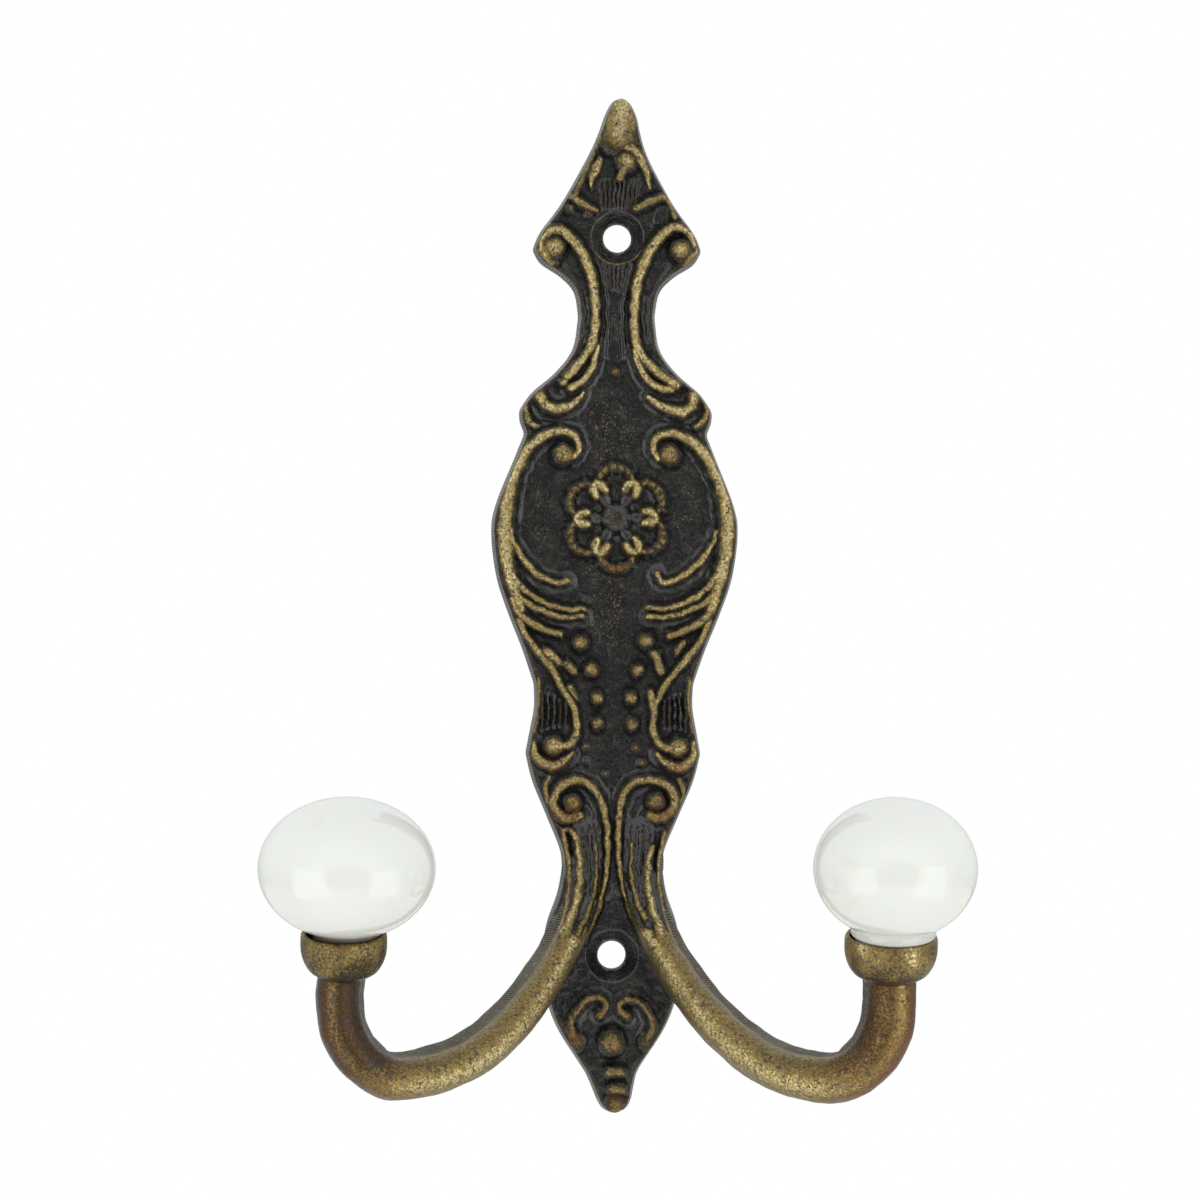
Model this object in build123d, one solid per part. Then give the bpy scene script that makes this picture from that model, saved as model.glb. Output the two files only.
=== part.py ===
"""Double coat hook for a wall: one ornamental casting with two arms, and a glazed ceramic knob on each arm.

Millimetres. +Z is up, the wall is the plane Y = 0 and the front of the hook faces -Y. The origin lies on
the wall face, midway between the two screw holes. The casting is mirrored about X = 0, apart from the width
of its cups, so its shapes are drawn for the right side, where X is positive, as (distance from the middle,
height).
"""

from build123d import *

import math
import os

# Back plate
PLATE_HEIGHT = 170.0
PLATE_WIDTH = 41.4  # across the body, its widest place
PLATE_TOP = 83.5  # height of the finial's tip
PLATE_THICKNESS = 3.6
PLATE_DRAFT = 0.7  # how far the front edge stands inside the back edge

# Screw holes, countersunk for a flat-headed wood screw
HOLE_SPACING = 120.0
HOLE_RADIUS = 2.35
COUNTERSINK_RADIUS = 4.9
COUNTERSINK_DEPTH = 2.4
HEAD_ROOM = 3.0  # how far in front of the plate the relief is kept clear of the screw's head

# Relief: ridges stand on the plate's front, their centres sunk a little below it
RELIEF_SINK = 0.35
BEAD_RISE = 0.68  # share of a bead's radius that stands above the plate

# Arms: where a stem ends below its cup, measured from the middle, the wall and the origin
ARM_SPREAD = 43.3
ARM_REACH = 38.3
ARM_END_HEIGHT = -59.8
ARM_ROOT_HEIGHT = -40.0
ARM_ROOT_DEPTH = 0.75 * PLATE_THICKNESS  # the middle of an arm's root, in front of the wall
ARM_BOW_HEIGHT = -77.2
CUP_LEAN = 13.5  # degrees that the cup and knob lean away from the wall

# Cups: the right one is a little wider
CUP_HEIGHT = 6.7
CUP_RADIUS = {"left": 6.9, "right": 7.5}
CUP_BASE_RADIUS = 4.3
CUP_SHOULDER = 0.52  # share of the height at which the rounded foot meets the straight barrel
CUP_BULGE = (0.7, 0.22)  # where the rounding passes: share of the way out to the barrel, share of the height
CUP_WALL = 0.85
RIM_BEVEL = 0.3
SEAT_DEPTH = 2.2
STEM_OVERLAP = 1.5  # how far the stem runs up into the solid foot of the cup

# Knobs, thrown by hand, so that the two differ a little
KNOB_RADIUS = {"left": 14.0, "right": 13.0}
KNOB_CROWN = {"left": 11.0, "right": 11.1}  # from the widest place up to the top
KNOB_BELLY = {"left": 11.0, "right": 11.2}  # the same downwards, for the curve that the foot cuts short
KNOB_CENTRE_RISE = {"left": 10.15, "right": 10.6}  # the widest place, above the cup's rim
FOOT_CLEARANCE = 0.3
FOOT_WAIST = 0.25  # the foot is this much slimmer halfway up

# Threaded studs that hold the knobs
STUD_RADIUS = 2.0
STUD_IN_CUP = 5.4
STUD_IN_KNOB = 8.5
STUD_CHAMFER = 0.4
STUD_HOLE_CLEARANCE = 0.15
STUD_HOLE_SPARE = 0.6  # each hole is this much deeper than the stud goes

FRONT = -PLATE_THICKNESS
RELIEF_PLANE = FRONT + RELIEF_SINK
SIDES = {"left": -1, "right": 1}


# The right half of the plate's back edge as it is drawn, from the finial's tip round to the tail's tip, in
# runs that meet at the rounded corners of the ornament. The plate and its relief are this drawing, stretched
# to the plate's height and width.
EDGE_RUNS = {
    "finial": [(0, 83.5), (2.3, 81.8), (4.0, 77.8), (6.2, 71.7), (9.5, 65.7), (12.9, 61.0), (14.2, 58.0)],
    "ear_and_neck": [(14.2, 58.0), (12.8, 55.7), (9.6, 53.6), (7.2, 51.0), (6.4, 46.9)],
    "neck_and_lobe": [(6.4, 46.9), (7.3, 41.5), (10.2, 37.5), (14.1, 34.1), (16.2, 31.1)],
    "lobe": [(16.2, 31.1), (16.1, 29.3), (15.3, 27.2)],
    "body": [
        (15.3, 27.2), (16.8, 23.4), (20.0, 15.3), (20.7, 10.5), (19.8, 3.3), (17.8, -2.8), (15.4, -8.8),
        (13.4, -14.6),
    ],
    "waist": [(13.4, -14.6), (13.3, -18.4), (13.9, -22.0), (14.7, -26.3)],
    "lower_ear": [(14.7, -26.3), (13.5, -31.0), (11.0, -37.0), (8.8, -42.4), (8.4, -45.6)],
    "tail": [
        (8.4, -45.6), (9.2, -49.8), (11.0, -55.2), (11.6, -61.0), (11.0, -67.0), (8.9, -72.6), (4.8, -79.3),
        (3.3, -83.0), (2.2, -85.4), (0, -86.5),
    ],
}
DRAWN_POINTS = [point for run in EDGE_RUNS.values() for point in run]
DRAWN_TOP = max(z for x, z in DRAWN_POINTS)
DRAWN_HEIGHT = DRAWN_TOP - min(z for x, z in DRAWN_POINTS)
DRAWN_WIDTH = 2 * max(x for x, z in DRAWN_POINTS)


def on_plate(x, z):
    """The place on the plate of a point of the drawing."""
    return x * PLATE_WIDTH / DRAWN_WIDTH, PLATE_TOP + (z - DRAWN_TOP) * PLATE_HEIGHT / DRAWN_HEIGHT


def spline_edge(points, depth):
    """A smooth curve through (x, z) points at one depth."""
    return Spline([(x, depth, z) for x, z in points])


def run_normal(points, i):
    """The outward direction at point i of a run, square to the line between its neighbours."""
    (ax, az), (bx, bz) = points[max(i - 1, 0)], points[min(i + 1, len(points) - 1)]
    length = math.hypot(bx - ax, bz - az)
    return (az - bz) / length, (bx - ax) / length


def inset_edge(inset):
    """The plate's right half edge, moved inwards by inset, as runs that still meet end to end."""
    runs = [[on_plate(*point) for point in run] for run in EDGE_RUNS.values()]
    moved = []
    for points in runs:
        normals = [run_normal(points, i) for i in range(len(points))]
        moved.append([(x - inset * nx, z - inset * nz) for (x, z), (nx, nz) in zip(points, normals)])
    for before, after in zip(moved, moved[1:]):
        joint = tuple((p + q) / 2 for p, q in zip(before[-1], after[0]))
        before[-1] = after[0] = joint
    moved[0][0] = (0, runs[0][0][1] - inset)
    moved[-1][-1] = (0, runs[-1][-1][1] + inset)
    return moved


def plate_face(inset, depth):
    right = [spline_edge(points, depth) for points in inset_edge(inset)]
    left = [edge.mirror(Plane.YZ) for edge in right]
    return Face(Wire([*right, *left]))


def make_plate():
    """The flat-backed plate, its sides drawn in towards the front as a casting's are."""
    return loft([plate_face(0, 0), plate_face(PLATE_DRAFT, FRONT)], ruled=True)


# Relief of the right side. Each ridge is its line and its radius at equal steps along that line; a radius
# smaller than the sink runs out under the surface. The scrolls have a flat crest, the leaves a sharp one.
SCROLLS = {
    "neck_scroll": (
        [
            (12.2, 58.6), (11.3, 60.3), (9.8, 61.0), (8.1, 60.3), (6.3, 58.4), (4.8, 55.8), (3.8, 52.4),
            (3.4, 48.7), (3.3, 44.9), (3.9, 41.6), (5.6, 39.2), (7.6, 37.1), (9.2, 35.7),
        ],
        [0.7, 1.0, 1.15, 1.15, 0.9],
    ),
    "lobe_scroll": (
        [(12.7, 33.6), (12.0, 31.9), (10.4, 31.1), (8.4, 31.5), (6.5, 32.7), (5.3, 34.0)],
        [1.15, 1.2, 0.95, 0.4],
    ),
    "body_scroll": (
        [
            (7.3, 22.3), (6.1, 24.2), (6.3, 26.0), (7.6, 27.1), (9.3, 27.3), (11.5, 26.4), (13.6, 24.4),
            (15.6, 21.3), (17.3, 17.6), (18.2, 13.4), (18.3, 8.8), (17.7, 4.0), (16.5, -0.2),
        ],
        [0.75, 0.95, 1.3, 1.6, 1.5, 0.3],
    ),
    "foot_scroll": (
        [
            (2.8, -52.3), (1.75, -48.9), (1.15, -44.4), (1.1, -40.2), (1.4, -36.8), (2.2, -34.0),
            (3.7, -31.9), (6.0, -30.9), (8.1, -31.5), (9.2, -33.0), (9.4, -34.8), (8.5, -36.5), (6.7, -37.1),
        ],
        [0.6, 0.7, 0.75, 0.9, 1.0, 0.85],
    ),
}
LEAVES = {
    "neck_inner_leaf": (
        [(3.4, 42.4), (3.9, 38.9), (5.3, 36.6), (7.1, 35.1), (8.8, 35.1)],
        [0.3, 0.75, 0.8, 0.8],
    ),
    "finial_leaf": ([(2.6, 74.0), (3.8, 72.2), (4.5, 70.2), (4.9, 68.2)], [0.5, 0.9, 0.4]),
    "brow": ([(8.1, 65.9), (5.9, 65.2), (3.9, 64.6)], [0.8, 1.0, 0.4]),
    "frond_a": (
        [(16.2, 9.6), (15.1, 6.8), (13.3, 4.8), (11.2, 3.3), (9.2, 2.4), (7.3, 2.6)],
        [0.4, 0.9, 1.0, 0.8],
    ),
    "frond_b": ([(16.4, 3.9), (14.4, 1.2), (11.6, -0.8), (8.7, -1.7), (5.6, -1.8)], [0.4, 0.95, 0.95, 0.8]),
    "frond_c": ([(15.9, -0.4), (13.8, -2.0), (11.4, -3.1), (8.9, -3.7), (5.9, -3.7)], [0.4, 0.95, 0.95, 0.8]),
    "frond_d": ([(15.9, -2.5), (13.4, -4.6), (11.0, -5.7), (8.7, -6.3)], [0.4, 1.0, 1.1, 0.9]),
    "long_leaf": (
        [
            (16.2, -3.0), (14.4, -6.6), (12.3, -9.9), (10.4, -12.7), (8.8, -15.6), (7.4, -18.1), (7.0, -20.4),
            (6.8, -22.6), (7.8, -24.5), (9.6, -25.1),
        ],
        [0.4, 0.9, 0.95, 0.95, 1.0],
    ),
    "ear_scroll": (
        [(12.4, -24.4), (12.4, -26.6), (11.4, -28.1), (9.7, -28.5), (8.0, -27.7), (6.7, -26.3)],
        [0.8, 1.1, 1.0, 0.5],
    ),
    "tail_scroll": (
        [(1.4, -68.9), (1.7, -67.4), (3.3, -66.9), (5.2, -68.0), (6.4, -69.8), (6.6, -71.8), (5.8, -73.6)],
        [0.6, 0.8, 0.85, 0.8],
    ),
}
# Beads of the right side: (distance from the middle, height, radius)
BEADS = {
    "ear": (10.6, 58.0, 1.55),
    "neck_bulb": (9.1, 35.4, 1.3),
    "lobe_bulb": (12.7, 33.5, 1.45),
    "body_eye": (8.4, 23.8, 1.6),
    "large_pearl": (5.4, -8.4, 1.6),
    "second_pearl": (3.8, -12.6, 1.5),
    "third_pearl": (2.8, -17.0, 1.35),
    "fourth_pearl": (2.85, -21.3, 1.25),
    "leaf_tip": (5.3, -2.75, 1.2),
    "leaf_nub": (7.9, -11.2, 0.95),
    "ear_bulb": (9.9, -25.1, 1.6),
    "foot_eye": (6.5, -34.2, 1.75),
    "tail_eye": (2.1, -69.4, 0.95),
    "tail_blob": (5.5, -74.0, 1.3),
}
# Beads on the middle line: (height, radius)
MIDDLE_BEADS = {
    "finial_bud": (72.4, 1.7),
    "neck_nub": (37.6, 0.9),
    "tail_pearl": (-74.6, 2.1),
    "tail_drop": (-79.1, 1.6),
}
# Ridges that run down the middle line: (heights, radii)
MIDDLE_RIDGES = {
    "finial_drop": ([81.4, 78.6, 75.8], [1.1, 1.9, 1.2]),
    "tail_tip": ([-82.0, -83.6, -84.9], [1.2, 1.5, 1.1]),
}


def scroll_section(plane, radius):
    """A hexagon, of which one side stands out of the plate as the ridge's flat crest."""
    return plane * RegularPolygon(radius, 6)


def leaf_section(plane, radius):
    """A square on its corner, of which one corner stands out of the plate as the ridge's sharp crest."""
    return plane * RegularPolygon(radius, 4)


def make_ridge(path, radii, section):
    """A ridge along a path whose radius changes in equal steps from one end to the other."""
    steps = len(radii) - 1
    stations = []
    for i, radius in enumerate(radii):
        plane = Plane(origin=path @ (i / steps), x_dir=(0, -1, 0), z_dir=path % (i / steps))
        stations.append(section(plane, radius))
    return sweep(stations, path=path, multisection=True)


def make_plate_ridge(points, radii, section):
    path = spline_edge([on_plate(*point) for point in points], RELIEF_PLANE)
    return make_ridge(path, radii, section)


# A dome is stacked from three level rings, as (share of its height, share of its radius)
DOME_RINGS = [(0.0, 1.0), (0.68, 0.78), (1.0, 0.38)]
DOME_SIDES = 7


def make_dome(x, z, radius, rise):
    """A bead or petal on the plate's front, cut with flat facets as a pattern maker's punch leaves it."""
    rings = []
    for height, share in DOME_RINGS:
        depth = RELIEF_PLANE - height * (rise + RELIEF_SINK)
        plane = Plane(origin=(x, depth, z), x_dir=(1, 0, 0), z_dir=(0, -1, 0))
        rings.append(plane * RegularPolygon(share * radius, DOME_SIDES))
    return loft(rings, ruled=True)


def make_bead(x, z, radius):
    return make_dome(*on_plate(x, z), radius, BEAD_RISE * radius)


# Six-petalled rosette: a ring of outer petals, a higher ring of inner ones between them, and a domed eye
ROSETTE_HEIGHT = 13.2
PETALS = 6
OUTER_PETAL = {"reach": 5.2, "radius": 3.4, "rise": 0.95}
INNER_PETAL = {"reach": 4.4, "radius": 2.5, "rise": 1.75}
ROSETTE_EYE = {"radius": 2.7, "rise": 1.3}


def make_rosette():
    centre = on_plate(0, ROSETTE_HEIGHT)[1]
    domes = [make_dome(0, centre, ROSETTE_EYE["radius"], ROSETTE_EYE["rise"])]
    for ring, turn in ((OUTER_PETAL, 30), (INNER_PETAL, 0)):
        for i in range(PETALS):
            angle = math.radians(turn + 360 / PETALS * i)
            x = ring["reach"] * math.cos(angle)
            z = centre + ring["reach"] * math.sin(angle)
            domes.append(make_dome(x, z, ring["radius"], ring["rise"]))
    return domes


# Stations of an arm, from its root on the plate to the foot of the cup: share of the spread, share of the
# way from the root's depth to the full reach, height, width and thickness.
ROOT_DROP = ARM_ROOT_HEIGHT - ARM_BOW_HEIGHT
END_RISE = ARM_END_HEIGHT - ARM_BOW_HEIGHT
ARM_STATIONS = [
    (0.106, 0.0, ARM_ROOT_HEIGHT, 7.2, PLATE_THICKNESS + 0.8),
    (0.113, 0.017, ARM_ROOT_HEIGHT - 0.16 * ROOT_DROP, 7.2, PLATE_THICKNESS + 1.6),
    (0.139, 0.054, ARM_ROOT_HEIGHT - 0.32 * ROOT_DROP, 7.0, PLATE_THICKNESS + 2.4),
    (0.192, 0.151, ARM_ROOT_HEIGHT - 0.475 * ROOT_DROP, 6.8, 6.8),
    (0.280, 0.287, ARM_ROOT_HEIGHT - 0.640 * ROOT_DROP, 7.2, 7.2),
    (0.393, 0.442, ARM_ROOT_HEIGHT - 0.796 * ROOT_DROP, 7.7, 7.5),
    (0.527, 0.602, ARM_ROOT_HEIGHT - 0.920 * ROOT_DROP, 8.0, 7.6),
    (0.663, 0.742, ARM_ROOT_HEIGHT - 0.985 * ROOT_DROP, 8.0, 7.6),
    (0.810, 0.863, ARM_BOW_HEIGHT + 0.01 * END_RISE, 8.0, 7.6),
    (0.920, 0.931, ARM_BOW_HEIGHT + 0.18 * END_RISE, 8.0, 7.6),
    (0.982, 0.960, ARM_BOW_HEIGHT + 0.43 * END_RISE, 8.1, 7.6),
    (1.0, 0.979, ARM_BOW_HEIGHT + 0.70 * END_RISE, 8.1, 7.6),
    (1.0, 1.0, ARM_END_HEIGHT, 8.0, 7.6),
]
ARM_WALL = 0.4  # share of the arm's thickness that its straight side walls take, from the flat back
ARM_WALL_DRAFT = 0.35  # how far each side wall leans in
ARM_FACETS = 6  # flats across the rounded front

LEAN_DIRECTION = Vector(0, -math.sin(math.radians(CUP_LEAN)), math.cos(math.radians(CUP_LEAN)))
AWAY_FROM_WALL = Vector(0, -1, 0)


def arm_point(station):
    spread, reach, height = station[:3]
    return Vector(spread * ARM_SPREAD, -ARM_ROOT_DEPTH - reach * (ARM_REACH - ARM_ROOT_DEPTH), height)


def arm_section(plane, width, thickness):
    """The arm's section: flat at the back, with short drafted walls and a front rounded off in facets."""
    half, back = width / 2, -thickness / 2
    shoulder = back + ARM_WALL * thickness
    outline = [(-half, back), (half, back)]
    for i in range(ARM_FACETS + 1):
        angle = math.pi * i / ARM_FACETS
        x = (half - ARM_WALL_DRAFT) * math.cos(angle)
        outline.append((x, shoulder + (1 - ARM_WALL) * thickness * math.sin(angle)))
    return plane * make_face(Polyline(*outline, close=True))


def arm_planes():
    """One plane square to the arm at each station, its Y away from the wall, and one up inside the cup."""
    centres = [arm_point(station) for station in ARM_STATIONS]
    centres.append(centres[-1] + LEAN_DIRECTION * STEM_OVERLAP)
    planes = []
    for i, centre in enumerate(centres):
        tangent = (centres[min(i + 1, len(centres) - 1)] - centres[max(i - 1, 0)]).normalized()
        planes.append(Plane(origin=centre, x_dir=AWAY_FROM_WALL.cross(tangent), z_dir=tangent))
    return planes


def make_arm():
    """The right arm, from the plate down, out and up to the foot of its cup."""
    sizes = [station[3:] for station in ARM_STATIONS] + [ARM_STATIONS[-1][3:]]
    return loft([arm_section(plane, *size) for plane, size in zip(arm_planes(), sizes)])


# Flutes on the root of an arm: crested ridges on its rounded front, each at a share of the half width across
FLUTES = (-0.62, 0.0, 0.62)
FLUTE_STATIONS = 5
FLUTE_RADII = [0.5, 0.9, 0.9, 0.8, 0.3]
FLUTE_SINK = 0.25


def make_flute(across):
    """A flute that runs down the arm's front, over the first few stations."""
    points = []
    for plane, station in zip(arm_planes()[:FLUTE_STATIONS], ARM_STATIONS):
        width, thickness = station[3:]
        swell = (1 - ARM_WALL) * thickness * math.sqrt(1 - across**2)
        height = (ARM_WALL - 0.5) * thickness + swell - FLUTE_SINK
        points.append(plane.from_local_coords((across * width / 2, height, 0)))
    return make_ridge(Spline(points), FLUTE_RADII, leaf_section)


def cup_plane(side):
    """The cup's own frame: its origin at the foot of the cup, its Z along the leaning axis."""
    end = arm_point(ARM_STATIONS[-1])
    return Plane(origin=(SIDES[side] * end.X, end.Y, end.Z), x_dir=(1, 0, 0), z_dir=LEAN_DIRECTION)


SEAT_HEIGHT = CUP_HEIGHT - SEAT_DEPTH


def seat_radius(side):
    return CUP_RADIUS[side] - CUP_WALL


def make_cup(side):
    """The bulged cup that carries the knob, solid below its seat."""
    radius, shoulder = CUP_RADIUS[side], CUP_SHOULDER * CUP_HEIGHT
    out, up = CUP_BULGE
    bulge = (CUP_BASE_RADIUS + out * (radius - CUP_BASE_RADIUS), up * CUP_HEIGHT)
    profile = [
        Line((0, 0), (CUP_BASE_RADIUS, 0)),
        ThreePointArc((CUP_BASE_RADIUS, 0), bulge, (radius, shoulder)),
        Line((radius, shoulder), (radius, CUP_HEIGHT - RIM_BEVEL)),
        Line((radius, CUP_HEIGHT - RIM_BEVEL), (radius - RIM_BEVEL, CUP_HEIGHT)),
        Line((radius - RIM_BEVEL, CUP_HEIGHT), (0, CUP_HEIGHT)),
        Line((0, CUP_HEIGHT), (0, 0)),
    ]
    return cup_plane(side) * revolve(Plane.XZ * make_face(Wire(profile)), Axis.Z)


def upright_cylinder(bottom, radius, height):
    """A cylinder that stands on a height of its frame."""
    return Pos(0, 0, bottom) * Cylinder(radius, height, align=(Align.CENTER, Align.CENTER, Align.MIN))


def make_cup_hollow(side):
    """The seat for the knob's foot and the tapped hole below it."""
    seat = upright_cylinder(SEAT_HEIGHT, seat_radius(side), 2 * SEAT_DEPTH)
    depth = STUD_IN_CUP + STUD_HOLE_SPARE
    hole = upright_cylinder(SEAT_HEIGHT - depth, STUD_RADIUS, depth + SEAT_DEPTH)
    return cup_plane(side) * (seat + hole)


def make_screw_hole(z):
    """A countersunk hole through the plate, with room in front of it for the screw's head."""
    bore = Pos(0, FRONT / 2, z) * Rot(90, 0, 0) * Cylinder(HOLE_RADIUS, 3 * PLATE_THICKNESS)
    sink = Cone(HOLE_RADIUS, COUNTERSINK_RADIUS, COUNTERSINK_DEPTH)
    cone = Pos(0, FRONT + COUNTERSINK_DEPTH / 2, z) * Rot(90, 0, 0) * sink
    room = Pos(0, FRONT - HEAD_ROOM / 2, z) * Rot(90, 0, 0) * Cylinder(COUNTERSINK_RADIUS, HEAD_ROOM)
    return bore + cone + room


def make_casting():
    body = make_plate()
    right = [make_plate_ridge(*scroll, scroll_section) for scroll in SCROLLS.values()]
    right += [make_plate_ridge(*leaf, leaf_section) for leaf in LEAVES.values()]
    right += [make_bead(*bead) for bead in BEADS.values()]
    right += [make_flute(across) for across in FLUTES]
    right.append(make_arm())
    middle = [make_bead(0, z, radius) for z, radius in MIDDLE_BEADS.values()]
    for heights, radii in MIDDLE_RIDGES.values():
        middle.append(make_plate_ridge([(0, z) for z in heights], radii, scroll_section))
    middle += make_rosette()
    left = [shape.mirror(Plane.YZ) for shape in right]
    cups = [make_cup(side) for side in SIDES]
    body = body.fuse(*right, *left, *middle, *cups)
    for z in (HOLE_SPACING / 2, -HOLE_SPACING / 2):
        body -= make_screw_hole(z)
    for side in SIDES:
        body -= make_cup_hollow(side)
    return body


def ellipse_points(across, along, centre, first_angle, last_angle, count=5):
    """Points of an ellipse about (0, centre), from one of its angles to another."""
    step = (last_angle - first_angle) / (count - 1)
    angles = [math.radians(first_angle + step * i) for i in range(count)]
    return [(across * math.cos(angle), centre + along * math.sin(angle)) for angle in angles]


def make_knob(side):
    """An oblate ceramic knob on a short foot, with a blind hole for the stud."""
    radius, crown, belly = KNOB_RADIUS[side], KNOB_CROWN[side], KNOB_BELLY[side]
    centre = CUP_HEIGHT + KNOB_CENTRE_RISE[side]
    foot = seat_radius(side) - FOOT_CLEARANCE
    crease_angle = math.degrees(math.acos(foot / radius))
    crease = centre - belly * math.sin(math.radians(crease_angle))
    foot_middle = (SEAT_HEIGHT + crease) / 2
    lower = ellipse_points(radius, belly, centre, -crease_angle, 0)
    upper = ellipse_points(radius, crown, centre, 0, 90)
    hole_radius = STUD_RADIUS + STUD_HOLE_CLEARANCE
    hole_top = SEAT_HEIGHT + STUD_IN_KNOB + STUD_HOLE_SPARE
    profile = [
        Line((hole_radius, SEAT_HEIGHT), (foot, SEAT_HEIGHT)),
        ThreePointArc((foot, SEAT_HEIGHT), (foot - FOOT_WAIST, foot_middle), lower[0]),
        Spline(lower),
        Spline(upper),
        Line((0, centre + crown), (0, hole_top)),
        Line((0, hole_top), (hole_radius, hole_top)),
        Line((hole_radius, hole_top), (hole_radius, SEAT_HEIGHT)),
    ]
    return cup_plane(side) * revolve(Plane.XZ * make_face(Wire(profile)), Axis.Z)


def make_stud(side):
    """The threaded steel stud that joins a knob to its cup, drawn at its outer diameter."""
    length = STUD_IN_CUP + STUD_IN_KNOB
    stud = upright_cylinder(SEAT_HEIGHT - STUD_IN_CUP, STUD_RADIUS, length)
    return cup_plane(side) * chamfer(stud.edges(), STUD_CHAMFER)


os.makedirs("parts", exist_ok=True)
export_step(make_casting(), "parts/hook_casting.step")
for side in SIDES:
    export_step(make_knob(side), f"parts/{side}_knob.step")
    export_step(make_stud(side), f"parts/{side}_stud.step")
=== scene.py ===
import math

import bmesh
import bpy
import numpy as np
from mathutils import Matrix, Vector


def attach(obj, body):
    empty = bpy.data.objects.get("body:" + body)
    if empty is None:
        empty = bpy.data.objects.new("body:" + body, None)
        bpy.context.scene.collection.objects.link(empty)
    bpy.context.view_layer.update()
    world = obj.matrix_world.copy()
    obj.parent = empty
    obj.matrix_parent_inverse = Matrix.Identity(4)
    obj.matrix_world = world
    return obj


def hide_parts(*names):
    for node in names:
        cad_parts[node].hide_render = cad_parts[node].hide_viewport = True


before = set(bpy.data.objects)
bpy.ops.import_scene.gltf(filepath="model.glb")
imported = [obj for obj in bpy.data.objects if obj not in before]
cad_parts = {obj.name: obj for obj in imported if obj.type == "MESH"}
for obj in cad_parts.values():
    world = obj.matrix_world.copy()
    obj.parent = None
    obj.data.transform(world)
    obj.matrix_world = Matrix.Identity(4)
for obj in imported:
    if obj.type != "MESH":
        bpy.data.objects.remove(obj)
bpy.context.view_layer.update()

# Double coat hook: a cast back plate with two arms, a cup at the end of each arm and a glazed knob in each.
# Lengths are in millimetres up to the meshes, which are in metres. The wall is the plane Y = 0, the front of
# the hook faces -Y and +Z is up. The origin is on the wall, midway between the two screw holes.
MM = 0.001


# Studio. The hook is seen straight from the front, from a little to its left, in a light tent that is dark
# only round the camera. Flat black ground mirrors that dark patch, and every slope catches the bright cloth.
CAMERA_DISTANCE = 700.0
CAMERA_AZIMUTH = -1.9  # degrees to the left of straight ahead
CAMERA_ROLL = 0.45
VIEW_CENTRE = (-2.35, 0.0, -0.57)
VIEW_WIDTH = 201.4  # how much of the wall plane the frame takes in
FLOOR_DROP = 350.0
FLOOR_SIZE = 2000.0

scene = bpy.context.scene
scene.view_settings.view_transform = "Standard"


def linear(code):
    """An sRGB hex colour as linear red, green, blue and alpha."""
    parts = [int(code[i:i + 2], 16) / 255 for i in (1, 3, 5)]
    return [p / 12.92 if p <= 0.04045 else ((p + 0.055) / 1.055) ** 2.4 for p in parts] + [1.0]


def add_node(tree, kind, inputs=(), **settings):
    """Adds a node with its settings. Inputs come in order or by name: each is a value or what feeds it."""
    made = tree.nodes.new(kind)
    for name, value in settings.items():
        setattr(made, name, value)
    by_name = isinstance(inputs, dict)
    sockets = [made.inputs[name] for name in inputs] if by_name else [s for s in made.inputs if s.enabled]
    for socket, value in zip(sockets, inputs.values() if by_name else inputs):
        if isinstance(value, bpy.types.Node):
            value = next(output for output in value.outputs if output.enabled)
        if isinstance(value, bpy.types.NodeSocket):
            tree.links.new(value, socket)
        else:
            socket.default_value = value
    return made


# The kinds of node that the materials use most, and their settings
MATHS, RANGE, NOISE, BLEND = "ShaderNodeMath", "ShaderNodeMapRange", "ShaderNodeTexNoise", "ShaderNodeMix"
PLACES, VALUE, PARTS = "ShaderNodeTexCoord", "ShaderNodeAttribute", "ShaderNodeSeparateXYZ"
PRODUCT = {"operation": "MULTIPLY"}
SCALED_SUM = {"operation": "MULTIPLY_ADD"}  # the first times the second, plus the third
LARGER = {"operation": "MAXIMUM"}
EASED = {"interpolation_type": "SMOOTHSTEP"}
COLOURS = {"data_type": "RGBA"}


def new_material(name):
    """An empty node material and its tree."""
    material = bpy.data.materials.new(name)
    material.use_nodes = True
    material.node_tree.nodes.clear()
    return material, material.node_tree


def aim(thing, place, target, roll=0.0):
    """Puts a camera or light at a place and turns it to a target, both in millimetres."""
    place, target = Vector(place) * MM, Vector(target) * MM
    turn = (target - place).to_track_quat("-Z", "Y").to_matrix().to_4x4()
    thing.matrix_world = Matrix.Translation(place) @ turn @ Matrix.Rotation(math.radians(roll), 4, "Z")


camera = bpy.data.objects.new("camera", bpy.data.cameras.new("camera"))
scene.collection.objects.link(camera)
scene.camera = camera
camera.data.lens_unit = "FOV"
camera.data.angle = 2 * math.atan(VIEW_WIDTH / 2 / CAMERA_DISTANCE)
camera.data.clip_start = 0.01
azimuth = math.radians(CAMERA_AZIMUTH)
offset = Vector((math.sin(azimuth), -math.cos(azimuth), 0)) * CAMERA_DISTANCE
aim(camera, Vector(VIEW_CENTRE) + offset, VIEW_CENTRE, CAMERA_ROLL)

# Tall softboxes at the sides, which give the knobs their two faint windows
SOFTBOX_PLACE = (383, -345, -190)
SOFTBOX_SIZE = (420 * MM, 580 * MM)
SOFTBOX_BRIGHTNESS = 1.12
for name, sign in (("left_softbox", -1), ("right_softbox", 1)):
    data = bpy.data.lights.new(name, "AREA")
    data.shape = "RECTANGLE"
    data.size, data.size_y = SOFTBOX_SIZE
    data.energy = SOFTBOX_BRIGHTNESS * math.pi * data.size * data.size_y
    light = bpy.data.objects.new(name, data)
    scene.collection.objects.link(light)
    aim(light, (sign * SOFTBOX_PLACE[0], *SOFTBOX_PLACE[1:]), (0, 0, -30))

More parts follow.
